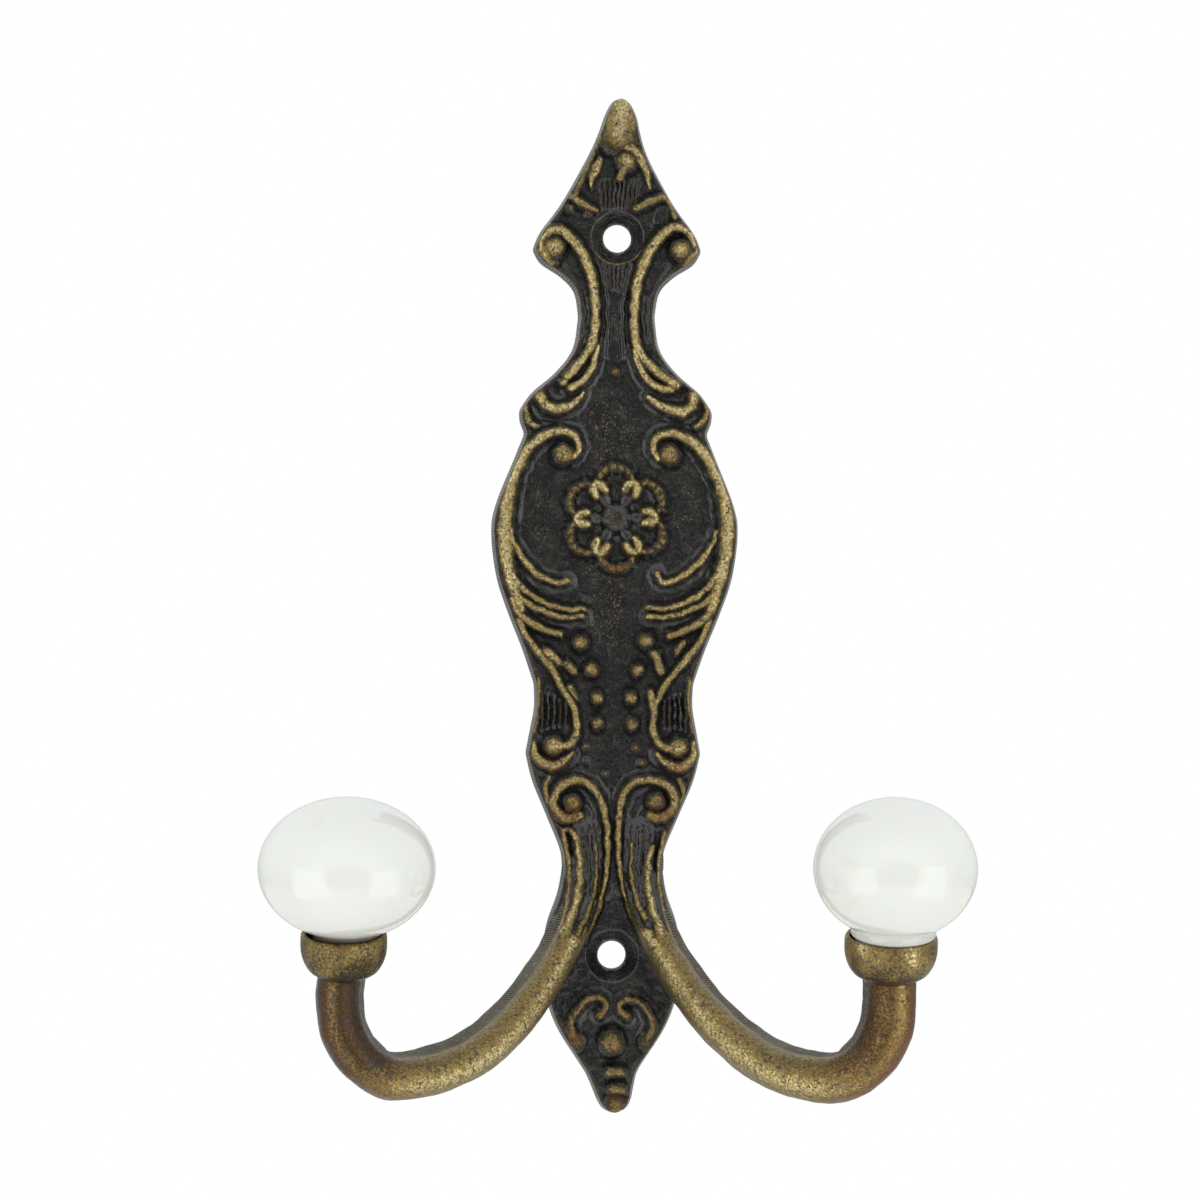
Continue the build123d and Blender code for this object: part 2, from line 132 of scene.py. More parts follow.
# The tent: white to the camera. To the hook it is bright above, a little dimmer below and at the sides, and
# dark round the camera.
TENT_ABOVE = 1.5
TENT_BELOW = 0.32
SIDE_SHARE = 0.65
CAMERA_SHARE = 0.15
world = bpy.data.worlds.new("light_tent")
scene.world = world
world.use_nodes = True
tree = world.node_tree
tree.nodes.clear()
parts = add_node(tree, PARTS, (add_node(tree, PLACES).outputs["Generated"],))
level = add_node(tree, RANGE, (parts.outputs["Z"], -0.7, 0.6, TENT_BELOW, TENT_ABOVE), **EASED)
sides = add_node(tree, RANGE, (parts.outputs["Y"], -0.80, -0.10, 1.0, SIDE_SHARE), **EASED)
front = add_node(tree, RANGE, (parts.outputs["Y"], -0.98, -0.78, CAMERA_SHARE, 1.0), **EASED)
level = add_node(tree, MATHS, (add_node(tree, MATHS, (level, sides), **PRODUCT), front), **PRODUCT)
seen = add_node(tree, "ShaderNodeBackground", (linear("#FFFFFF"), 1.0))
lit = add_node(tree, "ShaderNodeBackground", (linear("#F8FAFC"), level))
to_camera = add_node(tree, "ShaderNodeLightPath").outputs["Is Camera Ray"]
both = add_node(tree, "ShaderNodeMixShader", (to_camera, lit, seen))
add_node(tree, "ShaderNodeOutputWorld", (both,))

floor_mesh = bpy.data.meshes.new("studio_floor")
half = FLOOR_SIZE * MM / 2
corners = ((-half, -half), (half, -half), (half, half), (-half, half))
floor_mesh.from_pydata([(x, y, -FLOOR_DROP * MM) for x, y in corners], [], [(0, 1, 2, 3)])
floor = bpy.data.objects.new("studio_floor", floor_mesh)
scene.collection.objects.link(floor)
material, tree = new_material("matt white studio floor")
grain = add_node(tree, NOISE, {"Scale": 40.0, "Detail": 3.0})
shade = add_node(tree, RANGE, {"Value": grain, "To Min": 0.7, "To Max": 0.8})
cloth = add_node(tree, "ShaderNodeBsdfPrincipled", {"Base Color": linear("#EDEDEB"), "Roughness": shade})
add_node(tree, "ShaderNodeOutputMaterial", {"Surface": cloth})
floor_mesh.materials.append(material)


# Casting finish. Cast iron, plated in brass, lacquered black and rubbed back by hand: brass shows pitted and
# mottled on what stands proud, black gloss stays in the recesses and the side walls are grey. The meshes
# carry how far each point is rubbed, with a painted highlight on crests and painted shade on flanks worked
# in, and where there is wall, copper, gold dust and a crease, which gets painted shade.
GRAINS = {  # size in millimetres, detail, roughness, distortion
    "pits": (0.45, 3.0, 0.6, 0.0),
    "pocks": (0.75, 2.0, 0.55, 0.3),
    "mottle": (2.4, 3.0, 0.6, 0.4),
    "cloud": (9.0, 2.0, 0.5, 0.0),
    "dust": (0.34, 1.0, 0.5, 0.0),
    "lumps": (1.1, 3.0, 0.55, 0.3),
}
HATCH_SPACING = 0.5  # the real file marks are 0.3 apart, too fine for the render
GRAIN_DEPTH = 0.22

LACQUER = "#141311"
LACQUER_WORN = "#24221D"
# the colour of the painted shade in the creases
CREASE_SHADE_BLACK = "#060606"
BRASS_DEEP_AND_SHADED = "#3B3220"
BRASS_MIDDLE = "#8E7A4A"
BRASS_BRIGHT_AND_HIGHLIT = "#DCCB96"
COPPER = "#7A4527"
WALL_GREY = "#6F6C61"
WALL_DARK = "#1E1D1B"

casting_finish, tree = new_material("cast iron, brass plated, lacquered black and rubbed back")
place = add_node(tree, PLACES)
grains = {}
for name, (size, detail, roughness, distortion) in GRAINS.items():
    grains[name] = add_node(tree, NOISE, {
        "Vector": place.outputs["Object"], "Scale": 1 / (size * MM), "Detail": detail,
        "Roughness": roughness, "Distortion": distortion,
    })
pits, pocks, mottle, cloud, dust_grain, lump = grains.values()
carried = {}
for name in ("rub_and_shading", "wall", "copper", "dust", "run", "crease"):
    carried[name] = add_node(tree, VALUE, attribute_name=name).outputs["Fac"]
rub_and_shading, wall, copper, dust, run, crease = carried.values()

# How much brass shows: the rubbing, made uneven by the grain, less black pocks and pricks in patches
uneven = add_node(tree, MATHS, (pits, 1.3, -1.1), **SCALED_SUM)
uneven = add_node(tree, MATHS, (mottle, 0.9, uneven), **SCALED_SUM)
worn = add_node(tree, MATHS, (rub_and_shading, uneven), operation="ADD")
worn = add_node(tree, RANGE, (worn, 0.20, 0.44), **EASED)
for holes, low, high, limits in ((pocks, 0.56, 0.63, (0.42, 0.56, 0.225, 0.9)),
                                 (dust_grain, 0.56, 0.66, (0.38, 0.62, 0.0, 0.34))):
    holes = add_node(tree, RANGE, (holes, low, high), **EASED)
    share = add_node(tree, RANGE, (mottle, *limits), **EASED)
    black = add_node(tree, MATHS, (holes, share), **PRODUCT)
    kept = add_node(tree, MATHS, (1.0, black), operation="SUBTRACT")
    worn = add_node(tree, MATHS, (worn, kept), **PRODUCT)
# Gold dust left on flat ground
specks = add_node(tree, RANGE, (dust_grain, 0.62, 0.70), **EASED)
dusty = add_node(tree, MATHS, (dust, mottle), operation="ADD")
dusty = add_node(tree, RANGE, (dusty, 0.55, 1.05), **EASED)
specks = add_node(tree, MATHS, (specks, dusty), **PRODUCT)
shown = add_node(tree, MATHS, (worn, add_node(tree, MATHS, (specks, 0.75), **PRODUCT)), **LARGER)

# The brass is bright on the crests and goes brown down the flanks, with a fine speckle over both: painted
# highlight on the crests and painted shade on the flanks, over the grain's own tone.
bare = add_node(tree, MATHS, (rub_and_shading, add_node(tree, MATHS, (specks, 0.9), **PRODUCT)), **LARGER)
tone_and_shading = 0.0
for part, weight in ((pits, 1.6), (mottle, 0.5), (cloud, 0.3), (bare, 2.6), (dust_grain, -1.1)):
    tone_and_shading = add_node(tree, MATHS, (part, weight, tone_and_shading), **SCALED_SUM)
middling = add_node(tree, RANGE, (tone_and_shading, 1.85, 2.80), **EASED)
bright = add_node(tree, RANGE, (tone_and_shading, 2.75, 3.45), **EASED)
brass = add_node(tree, BLEND, (middling, linear(BRASS_DEEP_AND_SHADED), linear(BRASS_MIDDLE)), **COLOURS)
brass = add_node(tree, BLEND, (bright, brass, linear(BRASS_BRIGHT_AND_HIGHLIT)), **COLOURS)
brass = add_node(tree, BLEND, (copper, brass, linear(COPPER)), **COLOURS)
thin = add_node(tree, RANGE, (mottle, 0.45, 0.7), **EASED)
black = add_node(tree, BLEND, (thin, linear(LACQUER), linear(LACQUER_WORN)), **COLOURS)
# Painted shade in the creases: the black goes towards soot black there and its reflections are turned down
crease_shade_share = add_node(tree, MATHS, (crease, 0.8), **PRODUCT)
black = add_node(tree, BLEND, (crease_shade_share, black, linear(CREASE_SHADE_BLACK)), **COLOURS)
shine = add_node(tree, RANGE, (crease, 0.0, 0.8, 0.7, 0.12), **EASED)
colour = add_node(tree, BLEND, (shown, black, brass), **COLOURS)

# File marks across the side walls, and none on the flat back
hatch = add_node(tree, MATHS, (run, 2 * math.pi / HATCH_SPACING), **PRODUCT)
hatch = add_node(tree, MATHS, (mottle, 1.4, hatch), **SCALED_SUM)
hatch = add_node(tree, MATHS, (hatch,), operation="SINE")
hatch = add_node(tree, RANGE, (hatch, -0.6, 0.9), **EASED)
facing = add_node(tree, PARTS, (place.outputs["Normal"],)).outputs["Y"]
for value, limits in ((cloud, (0.35, 0.6, 0.35, 1.0)), (facing, (0.6, 0.9, 1.0, 0.0))):
    hatch = add_node(tree, MATHS, (hatch, add_node(tree, RANGE, (value, *limits), **EASED)), **PRODUCT)
grey = add_node(tree, BLEND, (hatch, linear(WALL_GREY), linear(WALL_DARK)), **COLOURS)
on_wall = add_node(tree, MATHS, (wall, 0.9), **PRODUCT)
colour = add_node(tree, BLEND, (on_wall, colour, grey), **COLOURS)

metal = add_node(tree, MATHS, (shown, 0.92), **PRODUCT)
metal = add_node(tree, MATHS, (metal, add_node(tree, MATHS, (wall, 0.35), **PRODUCT)), **LARGER)
gloss = add_node(tree, RANGE, (shown, 0.0, 1.0, 0.22, 0.42), **EASED)
gloss = add_node(tree, MATHS, (wall, 0.12, gloss), **SCALED_SUM)
pitted = add_node(tree, RANGE, (pits, 0.35, 0.7, 0.08, -0.04), **EASED)
gloss = add_node(tree, MATHS, (gloss, pitted), operation="ADD")
# The grain is pitted on the brass and lumpy under the lacquer, with the file marks cut into the walls
grain = 0.0
for height, on_black, on_brass in ((pits, 0.2, 0.3), (lump, 1.0, 0.3)):
    share = add_node(tree, RANGE, (shown, 0.0, 1.0, on_black, on_brass), **EASED)
    grain = add_node(tree, MATHS, (height, share, grain), **SCALED_SUM)
cut = add_node(tree, MATHS, (hatch, wall), **PRODUCT)
grain = add_node(tree, MATHS, (cut, -0.3, grain), **SCALED_SUM)
bump = add_node(tree, "ShaderNodeBump", {"Strength": 0.85, "Distance": GRAIN_DEPTH * MM, "Height": grain})
surface = add_node(tree, "ShaderNodeBsdfPrincipled", {
    "Base Color": colour, "Metallic": metal, "Roughness": gloss, "Specular IOR Level": shine, "Normal": bump,
})
add_node(tree, "ShaderNodeOutputMaterial", {"Surface": surface})


# Back plate. The flat-backed half of the casting, with its relief: scrolls, leaves, rows of pearls and a
# rosette, raised about a millimetre. Its sides lean in towards the front, as they must to leave the mould,
# and two countersunk holes take the screws. The relief was cut by hand, so its two sides differ a little.
PLATE_THICKNESS = 3.6
PLATE_DRAFT = 0.55  # less than the casting's 0.7, since its rounded front edge takes up the rest
HOLE_HEIGHTS = (60.0, -60.0)
HOLE_RADIUS = 2.35
COUNTERSINK_RADIUS = 4.4
COUNTERSINK_DEPTH = 2.2
ROWS = 590
COLUMNS = 145
TIP_WIDTH = 0.9  # half width at which the rows start, below the rounded tip
TIP_BOW = 5.0  # how far from a tip's end its rows bow
OUTLINE_POINTS = 1400
EDGE_ROUNDING = 0.55
EDGE_DROP = 0.35
EDGE_BRASS = 0.42
HOLE_RIM_BRASS = 0.75  # on the lower side of the upper hole's rim
CREASE_DEPTH = 0.12
FINIAL_LEAN = 0.45  # both tips stand a little to the right
TAIL_LEAN = 0.65

# The right half of the plate's back edge, in runs that meet at the ornament's corners: (out, height)
EDGE_RUNS = [
    [(0, 83.55), (1.3, 83.1), (2.1, 81.9), (2.8, 80.3), (3.5, 77.8), (4.5, 75.0), (6.1, 71.7), (9.5, 65.7),
     (12.9, 61.0), (14.2, 58.0)],
    [(14.2, 58.0), (12.8, 55.7), (9.6, 53.6), (7.2, 51.0), (6.4, 46.9)],
    [(6.4, 46.9), (7.3, 41.5), (10.2, 37.5), (14.1, 34.1), (16.2, 31.1)],
    [(16.2, 31.1), (16.1, 29.3), (15.3, 27.2)],
    [(15.3, 27.2), (16.8, 23.4), (20.0, 15.3), (20.7, 10.5), (19.8, 3.3), (17.8, -2.8), (15.4, -8.8),
     (13.4, -14.6)],
    [(13.4, -14.6), (13.3, -18.4), (13.9, -22.0), (14.7, -26.3)],
    [(14.7, -26.3), (13.5, -31.0), (11.0, -37.0), (8.8, -42.4), (8.4, -45.6)],
    [(8.4, -45.6), (9.2, -49.8), (11.0, -55.2), (11.6, -61.0), (11.0, -67.0), (8.9, -72.6), (4.8, -79.0),
     (3.9, -81.0), (3.4, -82.6), (2.8, -84.5), (1.8, -86.0), (0, -86.6)],
]


def smooth_line(points, count):
    """Evenly spaced points of a smooth curve through the given ones."""
    p = np.array(points, float)
    p = np.vstack([2 * p[0] - p[1], p, 2 * p[-1] - p[-2]])
    t = np.linspace(0, 1, 24, endpoint=False)[:, None]
    fine = []
    for a, b, c, d in zip(p, p[1:], p[2:], p[3:]):
        second, third = 2 * a - 5 * b + 4 * c - d, 3 * b - a - 3 * c + d
        fine.append(b + (c - a) * t / 2 + second * t**2 / 2 + third * t**3 / 2)
    fine = np.vstack([*fine, p[-2]])
    run = np.concatenate([[0], np.cumsum(np.linalg.norm(np.diff(fine[:, :3], axis=0), axis=1))])
    at = np.linspace(0, run[-1], count)
    return np.stack([np.interp(at, run, fine[:, k]) for k in range(fine.shape[1])], axis=1)


def step(value, low, high):
    """A smooth step from 0 at low to 1 at high."""
    t = np.clip((value - low) / (high - low), 0, 1)
    return t * t * (3 - 2 * t)


def lumps(points, spacing, seed):
    """Gentle unevenness between -1 and 1 whose bumps are about as far apart as spacing."""
    rng = np.random.default_rng(seed)
    total = np.zeros(len(points))
    for _ in range(7):
        direction = rng.normal(size=3)
        direction /= np.linalg.norm(direction)
        phase = points @ direction * 2 * math.pi / spacing * rng.uniform(0.7, 1.3)
        total += np.sin(phase + rng.uniform(0, 2 * math.pi))
    return total / 4


# Strokes of the relief: half widths along each, its height, how much brass is rubbed free on it, and its
# places on the left and on the right: (out from the middle, height)
STROKES = {
    "neck_scroll": (
        [0.7, 1.15, 1.3, 1.2, 1.1, 1.1, 1.0], 1.15, 1.0,
        [(12.9, 57.6), (12.6, 59.4), (11.1, 61.1), (9.4, 61.0), (8.1, 60.0), (6.6, 58.3), (5.2, 55.9),
         (4.2, 52.9), (3.7, 49.6), (3.6, 46.2), (4.0, 42.9), (4.9, 40.8), (6.6, 38.5), (8.3, 36.6)],
        [(13.1, 57.5), (12.7, 59.4), (11.4, 61.3), (9.4, 61.8), (7.4, 60.5), (5.6, 58.0), (4.3, 55.4),
         (3.3, 52.1), (2.9, 47.9), (2.9, 44.5), (3.6, 41.2), (5.5, 38.7), (7.5, 37.0), (9.5, 35.6)],
    ),
    "neck_leaf": (
        [0.5, 0.85, 0.95, 0.95], 0.95, 1.0,
        [(3.1, 42.0), (3.9, 38.7), (5.6, 36.1), (7.6, 34.8)],
        [(2.8, 41.2), (3.5, 39.2), (5.0, 36.5), (7.2, 34.8), (9.2, 34.7)],
    ),
    "lobe_scroll": (
        [1.25, 1.35, 1.05, 0.45], 1.15, 1.0,
        [(12.6, 33.1), (11.8, 31.8), (9.9, 31.3), (7.9, 31.8), (6.2, 33.1), (5.6, 34.0)],
        [(13.0, 33.4), (12.6, 31.9), (10.9, 30.9), (8.9, 31.3), (6.8, 32.3), (5.2, 33.5)],
    ),
    "lobe_rim": (
        [0.5, 0.8, 0.65], 0.7, 0.9,
        [(15.0, 32.5), (15.2, 30.8), (14.5, 29.1), (13.3, 28.4)],
        [(15.0, 32.8), (15.2, 30.8), (14.4, 29.2), (13.3, 28.6)],
    ),
    "body_scroll": (
        [0.65, 1.0, 1.3, 1.6, 1.85, 1.9, 1.5, 1.0], 1.35, 1.0,
        [(7.2, 23.1), (6.2, 24.4), (6.4, 26.1), (7.6, 27.3), (9.6, 27.6), (11.7, 26.9), (14.3, 25.0),
         (16.2, 22.2), (17.6, 18.5), (18.3, 14.3), (18.5, 10.1), (18.1, 5.9), (17.2, 2.2), (15.6, -2.2)],
        [(7.1, 23.1), (6.2, 24.6), (6.4, 26.1), (7.6, 27.1), (9.6, 27.3), (11.9, 26.4), (14.5, 24.3),
         (16.4, 21.4), (17.8, 18.3), (18.6, 14.8), (18.8, 11.0), (18.4, 6.6), (17.5, 2.6), (16.0, -2.0)],
    ),
    "frond_a": (
        [0.5, 0.85, 0.85, 0.7], 0.9, 0.95,
        [(17.5, 11.0), (16.7, 8.5), (15.1, 5.9), (13.3, 3.9), (11.3, 2.8), (9.4, 2.2), (7.9, 2.6)],
        [(16.9, 11.0), (16.0, 8.5), (14.5, 6.3), (12.7, 4.6), (10.9, 3.3), (8.9, 2.4), (7.5, 2.8),
         (7.1, 3.9)],
    ),
    "frond_b": (
        [0.7, 0.85, 0.75, 0.65], 0.95, 0.92,
        [(18.2, 6.8), (17.0, 3.4), (14.9, 0.9), (11.6, -1.1), (8.2, -2.1), (5.2, -2.1)],
        [(18.2, 6.8), (16.8, 3.4), (14.7, 0.9), (11.6, -1.0), (8.4, -1.9), (5.4, -1.8)],
    ),
    "frond_c": (
        [0.7, 0.85, 0.75, 0.65], 0.95, 0.92,
        [(17.8, 2.6), (15.8, -0.3), (12.4, -2.3), (8.7, -3.5), (5.2, -3.3)],
        [(17.8, 2.6), (15.8, -0.3), (12.4, -2.2), (8.9, -3.3), (5.5, -3.3)],
    ),
    "frond_d": (
        [0.7, 0.9, 0.95, 0.9], 0.95, 0.92,
        [(17.2, -0.3), (16.0, -2.8), (13.7, -4.6), (11.0, -5.8), (9.0, -6.3)],
        [(17.2, -0.6), (15.8, -2.8), (13.6, -4.6), (11.0, -5.9), (9.1, -6.5)],
    ),
    "long_leaf": (
        [0.8, 0.85, 0.9, 0.8, 0.9, 1.1], 1.0, 0.92,
        [(16.0, -4.1), (14.7, -6.6), (12.4, -9.7), (10.3, -12.2), (8.6, -15.5), (6.9, -18.1), (6.3, -20.2),
         (6.2, -22.6), (7.2, -24.6), (8.9, -25.1)],
        [(15.8, -4.1), (14.4, -7.2), (12.3, -10.0), (10.5, -12.2), (8.6, -14.7), (7.1, -17.6), (6.6, -19.9),
         (6.7, -22.8), (7.9, -24.8), (9.6, -25.4)],
    ),
    "leaf_edge": (
        [0.6, 0.6], 0.5, 0.8,
        [(12.6, -13.9), (12.7, -17.6), (12.9, -20.1), (13.3, -22.6)],
        [(12.6, -13.9), (12.5, -17.6), (12.9, -20.1), (13.3, -22.6)],
    ),
    "ear_bow": (
        [0.75, 1.15, 1.15, 0.5], 1.0, 0.95,
        [(13.4, -24.6), (13.2, -26.2), (12.0, -27.7), (10.2, -28.3), (8.4, -27.6), (6.9, -26.1)],
        [(13.4, -24.3), (13.4, -26.4), (12.3, -27.9), (10.6, -28.5), (8.8, -27.7), (7.3, -26.3)],
    ),
    "ear_trim": (
        [0.5, 0.6, 0.4], 0.5, 0.85,
        [(10.7, -30.1), (11.4, -32.3), (10.9, -34.5)],
        [(11.0, -30.4), (11.7, -32.4), (11.2, -34.5)],
    ),
    "foot_scroll": (
        [0.75, 0.8, 0.85, 0.95, 1.1, 1.15, 1.2], 1.1, 0.92,
        [(1.7, -49.4), (1.1, -46.1), (0.9, -42.7), (1.1, -37.7), (2.2, -33.8), (3.8, -31.6), (6.0, -30.6),
         (8.4, -31.5), (9.7, -33.2), (10.0, -34.8), (9.2, -36.3), (7.4, -37.2), (5.6, -36.6)],
        [(1.8, -48.6), (1.1, -44.4), (0.9, -39.4), (1.3, -34.3), (2.5, -31.8), (4.2, -30.7), (6.2, -30.5),
         (8.2, -31.0), (9.8, -32.3), (10.3, -34.2), (9.6, -35.8), (7.9, -36.9), (6.1, -36.6)],
    ),
    "flute_a": (
        [0.6, 0.75, 0.85, 0.9], 0.8, 0.9,
        [(8.4, -38.9), (7.8, -41.9), (7.2, -45.2), (7.1, -48.6), (7.7, -52.0), (8.9, -55.3)],
        [(8.6, -39.4), (8.0, -42.7), (7.6, -46.1), (7.8, -49.4), (8.6, -52.8), (9.6, -56.1)],
    ),
    "flute_b": (
        [0.6, 0.8, 0.85, 1.0], 0.85, 0.92,
        [(8.4, -38.9), (6.8, -39.2), (5.8, -40.7), (5.4, -43.6), (5.3, -46.9), (5.8, -50.3), (6.9, -53.6),
         (8.4, -56.5)],
        [(6.3, -41.5), (5.6, -44.4), (5.6, -47.8), (6.2, -51.1), (7.2, -54.5), (8.6, -57.2)],
    ),
    "flute_c": (
        [0.35, 0.5, 0.6, 0.8], 0.6, 0.8,
        [(3.1, -41.0), (2.9, -44.4), (3.1, -47.8), (3.6, -50.3), (4.6, -53.1), (6.3, -56.4)],
        [(3.3, -41.0), (3.1, -46.1), (3.6, -48.6), (4.4, -51.4), (5.4, -53.4)],
    ),
    "flute_d": (
        [0.8, 0.9, 1.0], 0.8, 0.88,
        [(1.7, -49.4), (2.6, -52.5), (3.9, -55.3), (5.4, -58.0)],
        [(1.8, -48.6), (3.0, -52.0), (4.5, -55.4), (6.2, -58.2)],
    ),
    "finial_rim": (
        [0.5, 0.7, 0.7], 0.5, 0.75,
        [(2.9, 76.5), (4.2, 74.2), (5.1, 71.8), (6.4, 68.9), (7.2, 66.9)],
        [],
    ),
    "finial_leaf": (
        [0.8, 1.15, 0.9, 0.4], 0.95, 0.95,
        [(3.0, 73.0), (3.7, 71.4), (4.4, 69.9), (4.5, 68.4)],
        [(1.4, 74.9), (2.7, 74.6), (4.1, 72.6), (5.0, 70.0), (5.2, 68.2)],
    ),
    "brow": (
        [0.9, 1.0, 0.9, 0.6], 0.85, 0.9,
        [(8.2, 66.9), (7.0, 66.2), (5.5, 65.3), (3.6, 64.4)],
        [(3.2, 64.9), (5.1, 65.9), (7.2, 66.7), (8.4, 66.4), (9.2, 64.6), (9.6, 63.4)],
    ),
    "tail_scroll": (
        [0.9, 0.75, 0.8, 0.85, 1.0], 0.85, 0.8,
        [(1.8, -69.7), (1.0, -68.7), (1.2, -67.4), (2.6, -66.8), (4.5, -67.6), (6.1, -69.4), (6.8, -71.4),
         (6.5, -73.4)],
        [(2.4, -70.0), (1.4, -69.0), (1.3, -67.9), (2.9, -67.2), (4.8, -67.9), (6.3, -69.6), (6.9, -71.7),
         (6.1, -73.6)],
    ),
}
# Beads: (from the middle, height, radius, rise, brass)
BEADS = [
    (-10.6, 58.2, 2.2, 1.5, 1.0), (10.6, 58.0, 2.2, 1.5, 1.0), (-8.9, 35.7, 1.05, 1.05, 1.0),
    (10.0, 35.3, 1.05, 1.05, 1.0), (-12.6, 33.3, 1.4, 1.2, 1.0), (13.0, 33.6, 1.4, 1.2, 1.0),
    (-8.8, 23.7, 2.2, 1.45, 0.92), (9.0, 23.8, 2.2, 1.45, 0.92), (-5.7, -7.7, 1.75, 1.35, 0.92),
    (5.2, -7.4, 1.7, 1.3, 0.92), (-3.8, -12.2, 1.55, 1.25, 0.92), (3.9, -12.3, 1.5, 1.25, 0.92),
    (-2.8, -16.9, 1.4, 1.15, 0.92), (2.8, -16.9, 1.4, 1.15, 0.92), (-2.7, -21.2, 1.35, 1.1, 0.9),
    (3.0, -21.3, 1.4, 1.1, 0.9), (-4.7, -25.0, 0.6, 0.55, 0.75), (-4.8, -27.3, 0.5, 0.45, 0.6),
    (-1.5, -29.5, 0.5, 0.5, 0.8), (3.7, -25.2, 0.7, 0.6, 0.75), (4.6, -27.7, 0.75, 0.6, 0.8),
    (-10.0, -24.9, 2.1, 1.6, 1.0), (10.8, -25.2, 2.1, 1.6, 1.0), (-6.8, -34.4, 1.9, 1.5, 0.85),
    (7.1, -34.1, 1.9, 1.5, 0.85), (-1.9, -69.7, 1.15, 0.95, 0.8), (2.5, -70.0, 1.2, 0.95, 0.8),
    (0.0, -74.4, 2.65, 1.5, 0.85), (-5.8, -74.3, 1.9, 0.9, 0.7), (5.8, -74.3, 1.7, 0.9, 0.7),
    (-0.2, 37.6, 1.0, 0.7, 0.7), (1.3, 72.6, 2.2, 1.3, 1.0), (-7.9, 64.6, 0.9, 0.8, 0.8),
    (-5.0, 63.9, 0.8, 0.5, 0.65), (-4.7, -0.6, 0.6, 0.6, 0.5), (0.7, -85.0, 2.3, 1.0, 0.85),
]
# Short leaves between the fronds and the pearls, and the finial's drop: (end, end, radius, rise, brass)
NUBS = [
    ((-11.2, -9.2), (-9.4, -10.9), 1.15, 0.95, 0.95), ((-7.8, -11.4), (-6.7, -12.6), 1.0, 0.8, 0.9),
    ((-7.3, -15.3), (-6.2, -16.9), 0.8, 0.7, 0.85), ((6.8, -9.6), (7.8, -12.4), 1.15, 0.9, 0.9),
    ((6.0, -16.0), (6.6, -18.6), 0.9, 0.8, 0.9), ((10.4, -9.2), (11.6, -7.4), 0.8, 0.7, 0.85),
    ((0.7, 82.4), (0.6, 80.0), 4.5, 1.3, 1.0), ((0.5, 79.8), (0.0, 77.2), 4.6, 1.5, 1.0),
    ((-12.8, 57.7), (-11.2, 55.6), 1.5, 0.7, 0.8), ((13.0, 57.5), (11.5, 55.4), 1.5, 0.7, 0.8),
    ((1.0, 71.6), (0.3, 69.9), 1.1, 1.0, 0.9), ((-0.2, -79.3), (1.7, -79.3), 1.35, 1.0, 0.8),
    ((0.2, -82.2), (2.0, -82.3), 1.25, 0.9, 0.8),
]
# Fine combs of parallel grooves: (first line's ends, last line's ends, how many, rise)
COMBS = [
    (((-3.0, 69.4), (-2.7, 64.6)), ((3.6, 69.6), (2.6, 65.0)), 9, 0.22),
    (((-3.1, 55.4), (-2.1, 51.2)), ((2.7, 55.4), (1.6, 51.0)), 8, 0.2),
    (((-12.9, -15.6), (-13.0, -22.4)), ((-8.0, -17.6), (-8.0, -21.6)), 6, 0.38),
    (((12.8, -15.6), (13.0, -22.4)), ((8.4, -17.4), (8.4, -21.8)), 6, 0.38),
    (((6.4, 64.8), (6.2, 62.6)), ((8.2, 65.4), (8.0, 62.2)), 4, 0.22),
    (((-7.9, -68.0), (-7.4, -72.0)), ((-5.3, -71.2), (-5.2, -73.0)), 3, 0.15),
    (((-5.8, -38.6), (-4.6, -47.5)), ((-2.4, -38.0), (-2.0, -46.5)), 5, 0.25),
    (((2.2, -38.0), (2.0, -47.0)), ((6.0, -39.0), (5.2, -46.0)), 5, 0.25),
]
# Smooth bars down the middle of the neck and along its edges, left black: points, half width, rise
BARS = [
    ([(-2.3, 56.0), (-1.8, 51.2), (-1.5, 46.0), (-1.8, 40.0)], 0.5, 0.4),
    ([(2.2, 56.0), (1.2, 51.2), (0.8, 46.0), (1.2, 40.0)], 0.5, 0.4),
    ([(-8.8, 55.0), (-6.5, 51.6), (-5.4, 47.4), (-5.9, 43.0), (-8.2, 39.3)], 0.35, 0.3),
    ([(8.6, 55.2), (6.2, 51.6), (5.0, 47.4), (5.6, 43.0), (7.8, 39.5)], 0.35, 0.3),
    ([(-5.0, 50.0), (-4.7, 46.2), (-5.3, 42.4)], 0.25, 0.2),
    ([(4.5, 50.0), (4.2, 46.2), (5.0, 42.4)], 0.25, 0.2),
    ([(-16.0, 19.2), (-16.5, 14.5), (-16.2, 10.0), (-14.8, 6.6), (-12.2, 4.4)], 0.22, 0.2),
    ([(16.0, 19.2), (16.4, 14.5), (15.8, 10.6), (14.2, 7.4), (11.8, 5.2)], 0.22, 0.2),
    ([(-4.4, -41.6), (-4.1, -45.0), (-4.3, -49.6)], 0.3, 0.3),
    ([(4.6, -40.6), (4.3, -45.0), (4.8, -50.0)], 0.3, 0.3),
]
# Low steps that frame the scroll heads and the beads: these strokes stand on one, this much wider
FRAMED = (
    "body_scroll", "lobe_scroll", "frond_a", "foot_scroll", "ear_bow", "tail_scroll", "neck_leaf", "frond_c",
)
FRAME_MARGIN = 0.8
FRAME_RISE = 0.2
FRAME_SLOPE = 0.26
COMB_WIDTHS = [0.24, 0.3, 0.22]
BAR_BRASS = 0.12
WANDER = 0.13  # how far the hand-cut edges stray

ROSETTE = (0.1, 13.15)
PETALS = 6
ROSETTE_TURN = 2  # degrees
EYE_RADIUS = 2.4
OUTER_PETAL = (5.6, 3.1)  # how far out its middle is, and its radius
OUTER_RIM = [(6.6, -2.8), (7.9, -1.9), (8.5, 0.0), (7.9, 1.9), (6.6, 2.8)]  # (out, sideways)
HEART = [(6.6, 0.3), (5.8, 0.85), (4.7, 1.0)]  # one lobe of an inner petal: (out, sideways)
RIBS = 42  # round the outer petals' rims
RIB_BAND = (6.9, 9)

